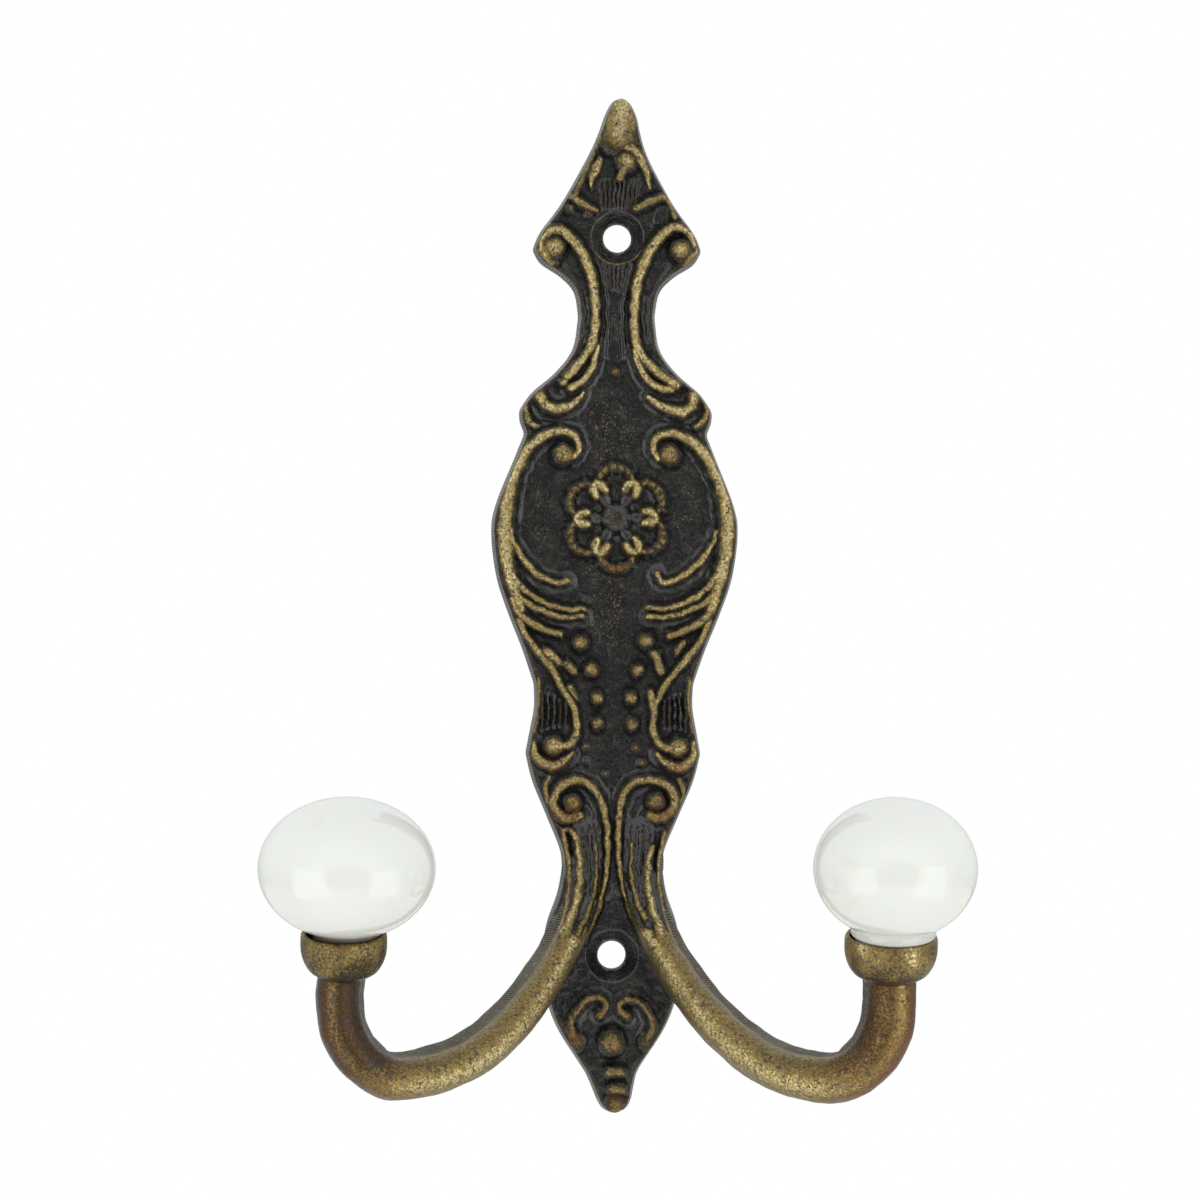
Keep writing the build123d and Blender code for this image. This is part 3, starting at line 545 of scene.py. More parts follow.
# Copper shows where the plating wore through: (from the middle, height, radius, share)
COPPER_SPOTS = [
    (-7.0, -36.4, 2.4, 0.5), (8.2, -36.2, 2.2, 0.45), (-10.2, -27.6, 2.0, 0.35), (10.8, -28.0, 2.0, 0.4),
    (0.0, -75.6, 1.8, 0.2), (-6.6, -73.4, 1.6, 0.35), (5.0, -26.6, 1.6, 0.3), (-3.4, -13.2, 1.4, 0.25),
    (0.0, 5.2, 2.2, 0.35), (9.3, -39.6, 1.6, 0.5), (10.9, 33.6, 1.6, 0.1), (0.6, -84.0, 1.8, 0.15),
]
# Gold dust on flat ground: (from the middle, height, half width, half height, share)
DUST_PATCHES = [
    (-0.8, 28.0, 4.4, 6.4, 0.95), (-1.2, -1.6, 3.4, 7.5, 0.9), (-12.6, 13.0, 2.6, 7.0, 0.5),
    (12.0, 14.0, 3.0, 7.0, 0.5), (0.0, 45.0, 1.2, 6.0, 0.45), (0.0, 13.2, 3.0, 3.0, 0.5),
    (-4.5, 4.5, 3.0, 3.0, 0.35), (0.0, -56.0, 4.0, 3.0, 0.25), (0.0, -17.0, 1.4, 8.0, 0.2),
]


def along_stroke(x, z, points, radii):
    """The places near a stroke, how far each is from its middle line, and the half width there."""
    line = smooth_line(points, max(8, int(4 * len(points))))
    widths = np.interp(np.linspace(0, 1, len(line)), np.linspace(0, 1, len(radii)), radii)
    reach = max(radii) + FRAME_MARGIN + 2 * FRAME_SLOPE
    near = (x > line[:, 0].min() - reach) & (x < line[:, 0].max() + reach)
    near &= (z > line[:, 1].min() - reach) & (z < line[:, 1].max() + reach)
    at = np.flatnonzero(near)
    px, pz = x[at, None], z[at, None]
    ax, az = line[:-1, 0], line[:-1, 1]
    dx, dz = line[1:, 0] - ax, line[1:, 1] - az
    t = np.clip(((px - ax) * dx + (pz - az) * dz) / (dx * dx + dz * dz), 0, 1)
    gap = np.hypot(px - ax - t * dx, pz - az - t * dz)
    width = widths[:-1] + t * (widths[1:] - widths[:-1])
    best = np.argmin(gap - width, axis=1)
    rows = np.arange(len(at))
    return at, gap[rows, best], width[rows, best]


def lay(height, rub_and_shading, x, z, points, radii, rise, brass, framed=False, roundness=0.6):
    """Raises one stroke or bead out of the ground and rubs its crest, less and less down its flanks, which
    gives the painted highlight on the crest and the painted shade on the flanks.
    """
    at, gap, width = along_stroke(x, z, points, radii)
    crest = np.clip(1 - (gap / width) ** 2, 0, 1)
    local = rise * np.minimum(1, (width / max(radii)) ** 0.5) * crest**roundness
    if framed:
        past_edge = gap - width - FRAME_MARGIN
        local = np.maximum(local, FRAME_RISE * (1 - step(past_edge, -FRAME_SLOPE, FRAME_SLOPE)))
    height[at] = np.maximum(height[at], local)
    rub_and_shading[at] = np.maximum(rub_and_shading[at], brass * (1 - np.minimum(gap / width, 1) ** 1.7))


def lay_rosette(height, rub_and_shading, x, z):
    """The rosette: six outer petals, six heart-shaped ones between them, and a domed eye."""
    def placed(points, turn):
        """Places given as (out, sideways) along a direction from the rosette's middle."""
        c, s = math.cos(turn), math.sin(turn)
        return [(ROSETTE[0] + out * c - side * s, ROSETTE[1] + out * s + side * c) for out, side in points]

    radius = np.hypot(x - ROSETTE[0], z - ROSETTE[1])
    angle = np.arctan2(z - ROSETTE[1], x - ROSETTE[0])
    for i in range(PETALS):
        turn = math.radians(ROSETTE_TURN + 360 / PETALS * i)
        between = turn + math.pi / PETALS
        reach, size = OUTER_PETAL
        disc = placed([(reach - 0.1, 0), (reach, 0)], between)
        lay(height, rub_and_shading, x, z, disc, [size, size], 0.55, 0.1, True)
        lay(height, rub_and_shading, x, z, placed(OUTER_RIM, between), [0.75, 1.0, 0.75], 0.95, 0.75)
        lay(height, rub_and_shading, x, z, placed([(2.6, 0), (4.6, 0)], turn), [0.7, 1.5], 0.9, 0.1)
        for sign in (-1, 1):
            lobe = [(out, sign * side) for out, side in HEART]
            lay(height, rub_and_shading, x, z, placed(lobe, turn), [1.0, 1.25, 0.95], 1.6, 1.0)
    eye = placed([(-0.02, 0), (0.02, 0)], 0)
    lay(height, rub_and_shading, x, z, eye, [EYE_RADIUS, EYE_RADIUS], 1.25, 0.34, roundness=0.5)
    grooves = (np.cos(RIBS * angle) < -0.2) & (radius > RIB_BAND[0]) & (radius < RIB_BAND[1])
    rub_and_shading[grooves] *= 0.75
    height[grooves] -= 0.1


def relief(x, z):
    """Height of the relief above the plate's front and how far it is rubbed, with its painted highlight and
    shade, at places in the front view.
    """
    height, rub_and_shading = np.zeros(len(x)), np.zeros(len(x))
    ground = np.stack([x, np.zeros(len(x)), z], axis=1)
    x = x + WANDER * (lumps(ground, 2.4, 21) + 0.5 * lumps(ground, 1.0, 22))
    z = z + WANDER * (lumps(ground, 2.2, 23) + 0.5 * lumps(ground, 0.9, 24))
    for name, (radii, rise, brass, *sides) in STROKES.items():
        for sign, places in zip((-1, 1), sides):
            points = [(sign * out, up) for out, up in places]
            if points:
                lay(height, rub_and_shading, x, z, points, radii, rise, brass, name in FRAMED)
    for points, radius, rise in BARS:
        lay(height, rub_and_shading, x, z, points, [radius, radius], rise, BAR_BRASS)
    for first, last, count, rise in COMBS:
        for share in np.linspace(0, 1, count):
            ends = [tuple((1 - share) * np.array(a) + share * np.array(b)) for a, b in zip(first, last)]
            lay(height, rub_and_shading, x, z, ends, COMB_WIDTHS, 1.5 * rise, 0.3 + 0.2 * math.sin(9 * share))
    for end, other, radius, rise, brass in NUBS:
        lay(height, rub_and_shading, x, z, [end, other], [radius, 0.85 * radius], rise, brass, roundness=0.5)
    for bead_x, bead_z, radius, rise, brass in BEADS:
        ends = [(bead_x - 0.02, bead_z), (bead_x + 0.02, bead_z)]
        lay(height, rub_and_shading, x, z, ends, [radius, radius], rise, brass, roundness=0.5)
    lay_rosette(height, rub_and_shading, x, z)
    return height, rub_and_shading


def spot_values(x, z):
    """Copper tint and gold dust at places in the front view."""
    copper, dust = np.zeros(len(x)), np.full(len(x), 0.2)
    for cx, cz, radius, share in COPPER_SPOTS:
        copper = np.maximum(copper, share * np.exp(-((x - cx) ** 2 + (z - cz) ** 2) / radius**2))
    for cx, cz, half_x, half_z, share in DUST_PATCHES:
        dust = np.maximum(dust, share * np.exp(-(((x - cx) / half_x) ** 2 + ((z - cz) / half_z) ** 2)))
    return copper, dust


def half_outline(inset):
    """The right half of the plate's outline, moved inwards, as evenly spaced places from top to bottom."""
    runs = [smooth_line(points, 12 * len(points)) for points in EDGE_RUNS]
    joined = np.vstack([run[:-1] for run in runs[:-1]] + [runs[-1]])
    even = smooth_line(joined, OUTLINE_POINTS)
    kernel = np.ones(9) / 9
    even[4:-4] = np.stack([np.convolve(even[:, k], kernel, "valid") for k in (0, 1)], axis=1)
    slope = np.gradient(even, axis=0)
    slope /= np.linalg.norm(slope, axis=1)[:, None]
    moved = even + inset * np.stack([slope[:, 1], -slope[:, 0]], axis=1)
    moved[:, 0] = np.maximum(moved[:, 0], 0)
    moved[:, 1] = np.minimum.accumulate(moved[:, 1])
    return moved


back_half, front_half = half_outline(0.0), half_outline(PLATE_DRAFT)
usable = np.flatnonzero(front_half[:, 0] > TIP_WIDTH)
picks = np.linspace(usable[0], usable[-1], ROWS)
order = np.arange(len(front_half))


def tip_bulge(height, tip_height, end_height):
    """How far the rows near a tip bow out in the middle, so that the first one is the tip's round end."""
    return (tip_height - end_height) * np.clip(1 - np.abs(height - end_height) / TIP_BOW, 0, 1)


across = np.linspace(-1, 1, COLUMNS)


def plate_places(outline):
    """The plate's rows and columns in the front view, from an outline."""
    half_width, height = (np.interp(picks, order, outline[:, k]) for k in (0, 1))
    bow = tip_bulge(height, outline[0, 1], height[0]) + tip_bulge(height, outline[-1, 1], height[-1])
    middle = FINIAL_LEAN * step(height, 72, 82) + TAIL_LEAN * step(-height, 78, 86)
    x = middle[:, None] + half_width[:, None] * across[None, :]
    z = height[:, None] + bow[:, None] * (1 - across[None, :] ** 2)
    return x, z, half_width, height


x, z, half_width, row_height = plate_places(front_half)
lean = np.hypot(1, np.gradient(half_width, row_height + 1e-6 * np.arange(ROWS)[::-1]))
edge_gap = half_width[:, None] * (1 - np.abs(across[None, :])) / np.minimum(lean, 4)[:, None]
relief_height, rub_and_shading = relief(x.ravel(), z.ravel())
relief_height = relief_height.reshape(x.shape)
rub_and_shading = rub_and_shading.reshape(x.shape)


def soften(values, rounds):
    """Takes the sharpness off, by averaging each place with its neighbours."""
    for _ in range(rounds):
        wide = np.pad(values, 1, mode="edge")
        values = (4 * values + wide[:-2, 1:-1] + wide[2:, 1:-1] + wide[1:-1, :-2] + wide[1:-1, 2:]) / 8
    return values


relief_height = soften(relief_height, 1)
# Painted shade: the creases, which lie lower than what is round them, are marked so that the finish darkens
# them and turns their reflections down
crease = np.clip((soften(relief_height, 8) - relief_height) / CREASE_DEPTH, 0, 1)
rounded_off = EDGE_DROP * np.clip(1 - edge_gap / EDGE_ROUNDING, 0, 1) ** 2
ground = np.stack([x.ravel(), np.zeros(x.size), z.ravel()], axis=1)
unevenness = 0.06 * lumps(ground, 5.0, 3).reshape(x.shape) + 0.06 * lumps(ground, 1.6, 4).reshape(x.shape)
front = PLATE_THICKNESS + relief_height + unevenness * step(edge_gap, 0, 1) - rounded_off
for hole_height in HOLE_HEIGHTS:
    from_hole = np.hypot(x, z - hole_height)
    bore_gap = np.maximum(from_hole - HOLE_RADIUS, 0)
    sunk = PLATE_THICKNESS - COUNTERSINK_DEPTH * (1 - bore_gap / (COUNTERSINK_RADIUS - HOLE_RADIUS))
    front = np.where(from_hole < COUNTERSINK_RADIUS, np.minimum(front, sunk), front)
    rub_and_shading = np.where(from_hole < COUNTERSINK_RADIUS, 0, rub_and_shading)
    ring = np.exp(-((from_hole - COUNTERSINK_RADIUS - 0.1) / 0.22) ** 2) * step(hole_height + 1 - z, 0, 4)
    rub_and_shading = np.maximum(rub_and_shading, HOLE_RIM_BRASS * ring * (hole_height > 0))
# A little brass on the plate's front edge
rub_and_shading = np.maximum(rub_and_shading, EDGE_BRASS * np.exp(-((edge_gap - 0.3) / 0.35) ** 2))
copper, dust = spot_values(x.ravel(), z.ravel())

# Side wall: the front's rim, three rings down to the back's, each ring one loop of places
back_x, back_z, _, _ = plate_places(back_half)


def rim_of(values):
    """The values round the rim of the rows and columns, clockwise from the top left."""
    return np.concatenate([values[0, :-1], values[:-1, -1], values[-1, :0:-1], values[:0:-1, 0]])


WALL_RINGS = (0.1, 0.45, 1.0)
index = np.arange(x.size).reshape(x.shape)
rim_front = np.stack([rim_of(x), -rim_of(front), rim_of(z)], axis=1)
rim_back = np.stack([rim_of(back_x), np.zeros(len(rim_front)), rim_of(back_z)], axis=1)
rim_run = np.concatenate([[0], np.cumsum(np.linalg.norm(np.diff(rim_back, axis=0), axis=1))])
places = [np.stack([x.ravel(), -front.ravel(), z.ravel()], axis=1)]
loops = [rim_of(index)]
for share in WALL_RINGS:
    loops.append(sum(len(group) for group in places) + np.arange(len(rim_front)))
    places.append(rim_front + share * (rim_back - rim_front))
places = np.vstack(places)
quads = np.stack([index[:-1, :-1], index[1:, :-1], index[1:, 1:], index[:-1, 1:]], axis=-1).reshape(-1, 4)
bore = np.zeros(len(places), bool)
for hole_height in HOLE_HEIGHTS:
    bore |= np.hypot(places[:, 0], places[:, 2] - hole_height) < HOLE_RADIUS
quads = quads[~bore[quads].any(axis=1)]
walls = [np.stack([a, np.roll(a, -1), np.roll(b, -1), b], axis=1)[:, ::-1] for a, b in zip(loops, loops[1:])]
faces = np.vstack([quads, *walls])

extra = len(places) - x.size
on_rim = np.tile(rim_run, len(WALL_RINGS))
plate_values = {
    "rub_and_shading": np.concatenate([rub_and_shading.ravel(), np.full(extra, 0.15)]),
    "wall": np.concatenate([0.5 * step(0.12 - edge_gap.ravel(), 0, 0.12), np.ones(extra)]),
    "copper": np.concatenate([copper, np.zeros(extra)]),
    "dust": np.concatenate([dust, np.zeros(extra)]),
    "crease": np.concatenate([crease.ravel(), np.zeros(extra)]),
    "run": np.concatenate([np.zeros(x.size), on_rim]),
}


def make_piece(name, places, faces, values, material):
    """A mesh from places in millimetres, with the values that its finish reads."""
    mesh = bpy.data.meshes.new(name)
    mesh.from_pydata((places * MM).tolist(), [], faces)
    for key, numbers in values.items():
        attribute = mesh.attributes.new(key, "FLOAT", "POINT")
        attribute.data.foreach_set("value", np.asarray(numbers, np.float32))
    mesh.materials.append(material)
    piece = bpy.data.objects.new(name, mesh)
    scene.collection.objects.link(piece)
    return piece


def finish_piece(piece, flat_angle):
    """Drops loose points, turns the faces outwards and shades the piece smooth but for its sharp edges."""
    bm = bmesh.new()
    bm.from_mesh(piece.data)
    bmesh.ops.delete(bm, geom=[v for v in bm.verts if not v.link_faces], context="VERTS")
    bmesh.ops.recalc_face_normals(bm, faces=bm.faces)
    bm.to_mesh(piece.data)
    bm.free()
    piece.data.polygons.foreach_set("use_smooth", [True] * len(piece.data.polygons))
    piece.data.set_sharp_from_angle(angle=math.radians(flat_angle))


plate = make_piece("back_plate", places, faces.tolist(), plate_values, casting_finish)
bm = bmesh.new()
bm.from_mesh(plate.data)
back_edges = [e for e in bm.edges if e.is_boundary and all(abs(v.co.y) < 1e-7 for v in e.verts)]
for hole_height in HOLE_HEIGHTS:
    centre = Vector((0, 0, hole_height * MM))
    ring = []
    for edge in bm.edges:
        middle = (edge.verts[0].co + edge.verts[1].co) / 2
        if edge.is_boundary and math.hypot(middle.x, middle.z - centre.z) < 1.3 * HOLE_RADIUS * MM:
            ring.append(edge)
    for vert in {v for e in ring for v in e.verts}:
        out = Vector((vert.co.x, 0, vert.co.z - centre.z)).normalized() * HOLE_RADIUS * MM
        vert.co = Vector((out.x, -(PLATE_THICKNESS - COUNTERSINK_DEPTH) * MM, centre.z + out.z))
    made = bmesh.ops.extrude_edge_only(bm, edges=ring)["geom"]
    for item in made:
        if isinstance(item, bmesh.types.BMVert):
            item.co.y = 0
    back_edges += [item for item in made if isinstance(item, bmesh.types.BMEdge) and item.is_boundary]
bmesh.ops.triangle_fill(bm, use_beauty=True, use_dissolve=False, edges=back_edges)
bm.to_mesh(plate.data)
bm.free()
finish_piece(plate, 50)
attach(plate, "root")
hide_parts("hook_casting")


# Arms and cups. Each arm is a bar with a flat back, short walls and a rounded front, fluted where it leaves
# the plate. It bends forwards, outwards and up, and swells into a cup; the left stem is a little slimmer. The
# walls lean more towards the crooks, so they show from the front as grey strips with file marks across them.
ARM_WALL = 0.4  # share of the arm's thickness
OUTER_LEAN = 0.35
RELIEF_ENDS = (55.5, 58.5)  # how far below the origin
BRASS_STARTS = (54.5, 58.0)
CROOK_LEAN = {"left": 1.25, "right": 0.95}
ARM_ROWS = 400
ARM_POINTS = 112
CUP_LEAN = 13.5
CUP_SEGMENTS = 128
# Right arm, from where it sinks into the plate to the foot of its cup: X, Y, Z, width, thickness
ARM_STATIONS = [
    (4.85, -1.75, -36.0, 6.8, 2.6),
    (4.59, -2.70, -40.0, 7.2, 4.4),
    (4.89, -3.31, -45.95, 7.2, 5.2),
    (6.02, -4.62, -51.9, 7.0, 6.0),
    (8.31, -8.08, -57.67, 6.8, 6.8),
    (12.12, -12.92, -63.81, 7.2, 7.2),
    (17.02, -18.44, -69.61, 7.7, 7.5),
    (22.82, -24.13, -74.22, 8.0, 7.6),
    (28.71, -29.12, -76.64, 8.0, 7.6),
    (35.07, -33.42, -77.03, 8.0, 7.6),
    (39.84, -35.84, -74.07, 8.0, 7.6),
    (42.52, -36.88, -69.72, 8.1, 7.6),
    (43.3, -37.55, -65.02, 8.1, 7.6),
    (43.3, -38.3, -59.8, 8.0, 7.6),
    (43.3, -38.75, -57.9, 8.0, 7.6),
]
STEM_WIDTH = {"left": 7.7, "right": 8.7}
STEM_SHIFT = {"left": 1.15, "right": 0.0}  # how much further out a stem stands than its knob
ARM_BRASS = 0.71
# Painted highlight: more brass along the middle of the front, where the arm would catch the light
PAINTED_CREST_HIGHLIGHT = 0.23  # more along the middle of the front
# Painted shade: less brass along the arm's outer, lower edge
PAINTED_OUTSIDE_SHADE = 0.13
STEM_DARKER = {"left": 0.33, "right": 0.15}
STEM_COPPER = {"left": 0.1, "right": 0.38}  # along its outer edge
ARM_SEED = {"left": 11, "right": 12}
CUP_SHIFT = {"left": 0.45, "right": -0.3}
CUP_RADIUS = {"left": 6.85, "right": 7.4}
CUP_HEIGHT = 6.7
CUP_WALL = 0.85
CUP_BRASS = {"left": 0.57, "right": 0.63}
CUP_COPPER = {"left": 0.3, "right": 0.7}
CUP_SEED = {"left": 31, "right": 32}
SEAT_DEPTH = 2.2
SIDES = {"left": -1, "right": 1}


def arm_outline(count):
    """The arm's section for half width 1 and thickness 1: places, and how much each is side wall."""
    shoulder = -0.5 + ARM_WALL
    draft = OUTER_LEAN / 4
    corners = [(0, -0.5), (1, -0.5), (1 - draft / 2, shoulder - 0.15)]
    angles = np.linspace(0, math.pi, 40)
    arc = [((1 - draft) * math.cos(a), shoulder + (1 - ARM_WALL) * math.sin(a)) for a in angles]
    corners += arc + [(-1 + draft / 2, shoulder - 0.15), (-1, -0.5), (0, -0.5)]
    corners = np.array(corners)
    sizes = (3.9, 7.5)  # millimetres for half width and thickness, to space the places evenly
    run = np.concatenate([[0], np.cumsum(np.hypot(*(np.diff(corners, axis=0) * sizes).T))])
    at = np.linspace(0, run[-1], 8 * count, endpoint=False)
    dense = np.stack([np.interp(at, run, corners[:, k]) for k in (0, 1)], axis=1)
    window = 19  # rounds the corners off
    wrapped = np.vstack([dense[-(window // 2):], dense, dense[:window // 2]])
    dense = np.stack([np.convolve(wrapped[:, k], np.ones(window) / window, "valid") for k in (0, 1)], axis=1)
    places = dense[::8]
    on_wall = step(np.abs(places[:, 0]), 0.86, 0.93)
    on_wall *= 1 - step(places[:, 1], shoulder - 0.02, shoulder + 0.1)
    behind = step(-places[:, 1], 0.42, 0.49)
    return places, np.maximum(on_wall, 0.7 * behind), behind


def ring_faces(rings, count):
    """The faces between rings that have this many points each, and the first ring and the last."""
    index = np.arange(rings * count).reshape(rings, count)
    onward = np.roll(index, -1, axis=1)
    faces = np.stack([index[:-1], onward[:-1], onward[1:], index[1:]], axis=-1)
    return faces.reshape(-1, 4).tolist(), index[0].tolist(), index[-1].tolist()


def make_arm(side):
    """One arm, without its cup."""
    sign = SIDES[side]
    line = smooth_line(ARM_STATIONS, ARM_ROWS)
    share = np.linspace(0, 1, ARM_ROWS)  # how far along the arm, from the plate to the cup
    centre, width, thickness = line[:, :3], line[:, 3], line[:, 4]
    width = width + (STEM_WIDTH[side] - ARM_STATIONS[-1][3]) * step(share, 0.55, 0.85)
    centre[:, 0] += STEM_SHIFT[side] * step(share, 0.5, 0.72) * (1 - 0.4 * step(share, 0.93, 1.0))
    tangent = np.gradient(centre, axis=0)
    tangent /= np.linalg.norm(tangent, axis=1)[:, None]
    inner = np.cross(np.array([0.0, -1.0, 0.0]), tangent)
    inner /= np.linalg.norm(inner, axis=1)[:, None]
    outer = np.cross(tangent, inner)
    outline, wall, behind = arm_outline(ARM_POINTS)
    lean = CROOK_LEAN[side] * (1 - 0.85 * step(share, 0.55, 0.78)) * step(share, 0.02, 0.12)
    raised = step(outline[:, 1], -0.5, ARM_WALL - 0.5) * (outline[:, 0] + 1) / 2
    sideways = width[:, None] / 2 * outline[None, :, 0] - lean[:, None] * raised[None, :]
    places = (centre[:, None, :] + sideways[..., None] * inner[:, None, :]
              + (thickness[:, None] * outline[None, :, 1])[..., None] * outer[:, None, :])
    around = np.roll(places, -1, axis=1) - np.roll(places, 1, axis=1)
    onward = np.gradient(places, axis=0)
    normal = np.cross(around, onward)
    normal /= np.maximum(np.linalg.norm(normal, axis=2), 1e-9)[..., None]
    outward = places - centre[:, None, :]
    normal *= np.sign((normal * outward).sum(axis=2))[..., None]
    places[..., 0] *= sign
    normal[..., 0] *= sign
    flat = places.reshape(-1, 3)
    facing = np.clip(-normal[..., 1].ravel(), 0, 1)
    height, rub_and_shading = relief(flat[:, 0], flat[:, 2])
    fade = 1 - step(-flat[:, 2], *RELIEF_ENDS)
    height *= fade * step(facing, 0.15, 0.6)
    uneven = 0.10 * lumps(flat, 7.0, ARM_SEED[side]) + 0.03 * lumps(flat, 2.2, 13)
    flat += normal.reshape(-1, 3) * (height + uneven * step(-flat[:, 2], 40, 48))[:, None]
    bare = step(-flat[:, 2] + 0.25 * np.abs(flat[:, 0]) + 1.2 * lumps(flat, 3.0, 14), *BRASS_STARTS)
    bare = np.maximum(bare, step(share, 0.35, 0.45)[:, None].repeat(ARM_POINTS, 1).ravel())
    # A painted highlight along the front's crest and painted shade along the outer edge, worked into the
    # rubbing
    crest = np.exp(-((outline[:, 0] + 0.3) / 0.42) ** 2)
    arm_rub_and_shading = ARM_BRASS + PAINTED_CREST_HIGHLIGHT * crest - PAINTED_OUTSIDE_SHADE * step(-outline[:, 0], 0.7, 1.0)
    arm_rub_and_shading = arm_rub_and_shading[None, :] - STEM_DARKER[side] * step(share, 0.70, 0.84)[:, None]
    rub_and_shading = np.maximum(rub_and_shading * fade, bare * arm_rub_and_shading.ravel())
    rub_and_shading *= 1 - 0.75 * np.tile(behind, ARM_ROWS)
    copper, dust = spot_values(flat[:, 0], flat[:, 2])
    outer_edge = np.exp(-((outline[None, :, 0] + 0.8) / 0.3) ** 2)
    stem = step(share, 0.66, 0.8)[:, None] * (0.22 + STEM_COPPER[side] * outer_edge)
    copper = np.maximum(copper * fade, np.broadcast_to(stem, (ARM_ROWS, ARM_POINTS)).ravel())
    faces, first, last = ring_faces(ARM_ROWS, ARM_POINTS)
    faces += [first[::-1], last]
    run = np.concatenate([[0], np.cumsum(np.linalg.norm(np.diff(centre, axis=0), axis=1))])
    values = {
        "rub_and_shading": rub_and_shading, "wall": np.tile(wall, ARM_ROWS), "copper": copper, "dust": dust * fade,
        "run": np.repeat(run, ARM_POINTS),
    }
    return flat, faces, values


def turned(side, profile, segments, shift=0.0):
    """A form turned about a cup's leaning axis, from (radius, height) places that start and end on it."""
    lean = math.radians(CUP_LEAN)
    foot = np.array([SIDES[side] * (ARM_STATIONS[-2][0] + shift), *ARM_STATIONS[-2][1:3]])
    up = np.array([0, -math.sin(lean), math.cos(lean)])
    first = np.array([1.0, 0, 0])
    second = np.cross(up, first)
    angle = np.arange(segments) * 2 * math.pi / segments
    ring = np.cos(angle)[:, None] * first + np.sin(angle)[:, None] * second
    radii, heights = np.array(profile[1:-1]).T
    body = foot + radii[:, None, None] * ring + heights[:, None, None] * up
    places = np.vstack([body.reshape(-1, 3), foot + profile[0][1] * up, foot + profile[-1][1] * up])
    faces, first_ring, last_ring = ring_faces(len(radii), segments)
    start, end = radii.size * segments, radii.size * segments + 1
    faces += [[start, b, a] for a, b in zip(first_ring, first_ring[1:] + first_ring[:1])]
    faces += [[a, b, end] for a, b in zip(last_ring, last_ring[1:] + last_ring[:1])]
    return places, faces, np.repeat(heights, segments), np.repeat(radii, segments)


def make_cup(side):
    """The bulged cup, with a rounded rim and a seat for the knob's foot."""
    radius, seat, top = CUP_RADIUS[side], CUP_HEIGHT - SEAT_DEPTH, CUP_HEIGHT
    bore = radius - CUP_WALL - 0.05
    belly = smooth_line([
        (0.52 * radius, -0.7), (0.70 * radius, 0.0), (0.81 * radius, 0.6), (0.91 * radius, 1.7),
        (0.975 * radius, 3.0), (radius, 4.3), (radius, top - 0.9),
    ], 34)
    rim = smooth_line([
        (radius, top - 0.9), (radius - 0.05, top - 0.5), (radius - 0.3, top - 0.1),
        (radius - CUP_WALL / 2 - 0.1, top), (radius - CUP_WALL, top - 0.2), (bore, top - 0.8),
    ], 16)[1:]
    inside = [(bore, seat + 0.7), (bore, seat), (radius / 2, seat)]
    profile = [(0, -0.7), *map(tuple, belly), *map(tuple, rim), *inside, (0, seat)]
    places, faces, heights, radii = turned(side, profile, CUP_SEGMENTS, CUP_SHIFT[side])
    inner = (radii < radius - CUP_WALL + 0.02) & (heights > seat - 0.1)
    patches = 0.13 * lumps(places[:-2], 4.0, CUP_SEED[side])
    rub_and_shading = np.where(inner, 0.1, CUP_BRASS[side] + patches + 0.14 * step(heights, 2.0, 5.5))
    rub_and_shading *= 1 - 0.5 * np.exp(-((heights - 0.1) / 0.8) ** 2)
    rub_and_shading = np.append(rub_and_shading, [0.5, 0.1])
    heights = np.append(heights, [0, seat])
    copper = np.exp(-((heights - 0.1) / 0.6) ** 2) * CUP_COPPER[side]
    nothing = np.zeros(len(places))
    return places, faces, {"rub_and_shading": rub_and_shading, "wall": nothing, "copper": copper, "dust": nothing, "run": nothing}


for side in SIDES:
    arm_places, arm_faces, arm_values = make_arm(side)
    cup_places, cup_faces, cup_values = make_cup(side)
    shifted = [[i + len(arm_places) for i in face] for face in cup_faces]
    values = {key: np.concatenate([arm_values[key], cup_values[key]]) for key in arm_values}
    places = np.vstack([arm_places, cup_places])
    arm = make_piece(f"{side}_arm_and_cup", places, arm_faces + shifted, values, casting_finish)
    finish_piece(arm, 50)
    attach(arm, "root")
    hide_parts("hook_casting")


# Knobs. White ceramic, pressed and turned by hand so that no two match, glazed and fired: an oblate ball on
# a short foot that sits in the cup, set in cement. The glaze gives sharp window reflections over a milky
# body. Where the ball meets the cup, a brownish band is painted into the glaze: painted shade, with a painted
# reflection of the brass cup.
KNOB_RADIUS = {"left": 14.0, "right": 13.0}
KNOB_CROWN = {"left": 11.0, "right": 11.1}
KNOB_BELLY = {"left": 11.0, "right": 11.2}
KNOB_CENTRE = {"left": CUP_HEIGHT + 10.5, "right": CUP_HEIGHT + 11.0}
FOOT_RADIUS = {"left": 5.5, "right": 6.15}
KNOB_COLLAR = 0.55  # how far the foot spreads over the cup's rim
KNOB_SEGMENTS = 160
GLAZE = "#E6E7E1"
GLAZE_CREAM = "#E0E2CE"
PAINTED_CUP_SHADE = "#6E6652"
PAINTED_CUP_SHADE_SHARE = {"left": 0.95, "right": 0.3}
PAINTED_CUP_SHADE_REACH = 1.3
GLAZE_SPOT_SIZE = 5.0
GLAZE_RIPPLE_SIZE = 7.0

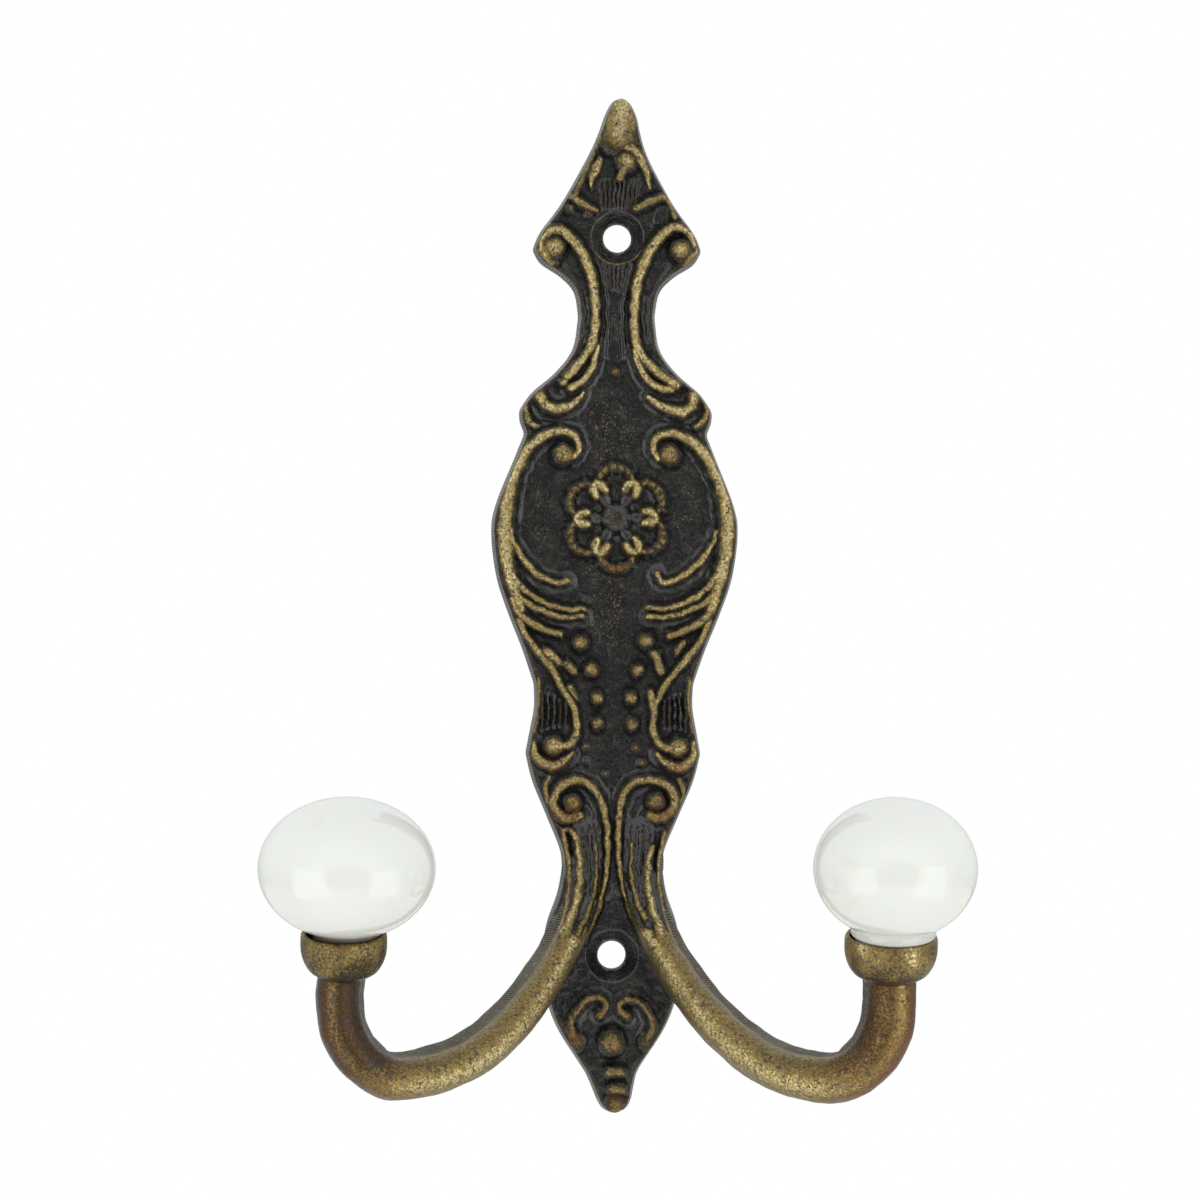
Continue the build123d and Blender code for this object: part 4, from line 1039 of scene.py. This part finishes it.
glaze, tree = new_material("white ceramic, glazed and fired")
where = add_node(tree, PLACES).outputs["Object"]
spots = add_node(tree, NOISE, {
    "Vector": where, "Scale": 1 / (GLAZE_SPOT_SIZE * MM), "Detail": 2.0, "Roughness": 0.5,
})
ripple = add_node(tree, NOISE, {
    "Vector": where, "Scale": 1 / (GLAZE_RIPPLE_SIZE * MM), "Detail": 1.0, "Roughness": 0.4,
})
spots = add_node(tree, RANGE, (spots, 0.60, 0.74, 0.0, 0.5), **EASED)
painted_cup_shade = add_node(tree, VALUE, attribute_name="painted_cup_shade").outputs["Fac"]
body = add_node(tree, BLEND, (spots, linear(GLAZE), linear(GLAZE_CREAM)), **COLOURS)
body = add_node(tree, BLEND, (painted_cup_shade, body, linear(PAINTED_CUP_SHADE)), **COLOURS)
bump = add_node(tree, "ShaderNodeBump", {"Strength": 0.08, "Distance": 0.1 * MM, "Height": ripple})
surface = add_node(tree, "ShaderNodeBsdfPrincipled", {
    "Base Color": body, "Roughness": 0.04, "IOR": 1.5, "Coat Weight": 0.35, "Coat Roughness": 0.02,
    "Subsurface Weight": 0.25, "Subsurface Scale": 1.2 * MM, "Normal": bump,
})
add_node(tree, "ShaderNodeOutputMaterial", {"Surface": surface})

for side in SIDES:
    radius, crown, belly, middle = KNOB_RADIUS[side], KNOB_CROWN[side], KNOB_BELLY[side], KNOB_CENTRE[side]
    foot, seat = FOOT_RADIUS[side], CUP_HEIGHT - SEAT_DEPTH
    collar = foot + KNOB_COLLAR
    crease = math.acos(collar / radius)
    crease_height = middle - belly * math.sin(crease)
    profile = [(0, seat), (foot - 0.4, seat), (foot, seat + 0.4), (foot, CUP_HEIGHT - 0.1)]
    if crease_height > CUP_HEIGHT + 0.6:
        profile += [(collar, CUP_HEIGHT + 0.08), (collar + 0.12, CUP_HEIGHT + 0.35)]
        profile += [(collar, crease_height - 0.25)]
    profile += [(radius * math.cos(a), middle + belly * math.sin(a)) for a in np.linspace(-crease, 0, 34)]
    profile += [(radius * math.cos(a), middle + crown * math.sin(a)) for a in np.linspace(0, 1.54, 44)[1:]]
    profile += [(0, middle + crown)]
    places, faces, heights, _ = turned(side, profile, KNOB_SEGMENTS)
    heights = np.append(heights, [seat, middle + crown])
    # Painted shade, with a painted reflection of the brass cup, on the ball just above the cup, fading
    # upwards
    painted_cup_shade = PAINTED_CUP_SHADE_SHARE[side] * np.exp(-np.maximum(heights - CUP_HEIGHT - 0.4, 0) / PAINTED_CUP_SHADE_REACH)
    knob = make_piece(f"{side}_ceramic_knob", places, faces, {"painted_cup_shade": painted_cup_shade}, glaze)
    finish_piece(knob, 60)
    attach(knob, "root")
    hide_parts(f"{side}_knob")


# Studs. A threaded steel rod joins each knob to its cup: screwed into the cup, cemented into the knob, and
# out of sight. Rolled zinc-plated steel is bright, with the thread's fine rings across it.
THREAD_PITCH = 0.7
stud_finish, tree = new_material("zinc-plated steel, rolled thread")
where = add_node(tree, PLACES).outputs["Object"]
height = add_node(tree, PARTS, (where,)).outputs["Z"]
turns = add_node(tree, MATHS, (height, 2 * math.pi / (THREAD_PITCH * MM)), **PRODUCT)
turns = add_node(tree, MATHS, (turns,), operation="SINE")
bump = add_node(tree, "ShaderNodeBump", {"Strength": 0.8, "Distance": 0.2 * MM, "Height": turns})
bloom = add_node(tree, NOISE, {"Vector": where, "Scale": 1 / MM, "Detail": 2.0, "Roughness": 0.5})
zinc = add_node(tree, BLEND, (bloom, linear("#A8ABAE"), linear("#C6C9CC")), **COLOURS)
surface = add_node(tree, "ShaderNodeBsdfPrincipled", {
    "Base Color": zinc, "Metallic": 1.0, "Roughness": 0.32, "Normal": bump,
})
add_node(tree, "ShaderNodeOutputMaterial", {"Surface": surface})
for side in SIDES:
    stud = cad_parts[f"{side}_stud"]
    stud.data.materials.clear()
    stud.data.materials.append(stud_finish)
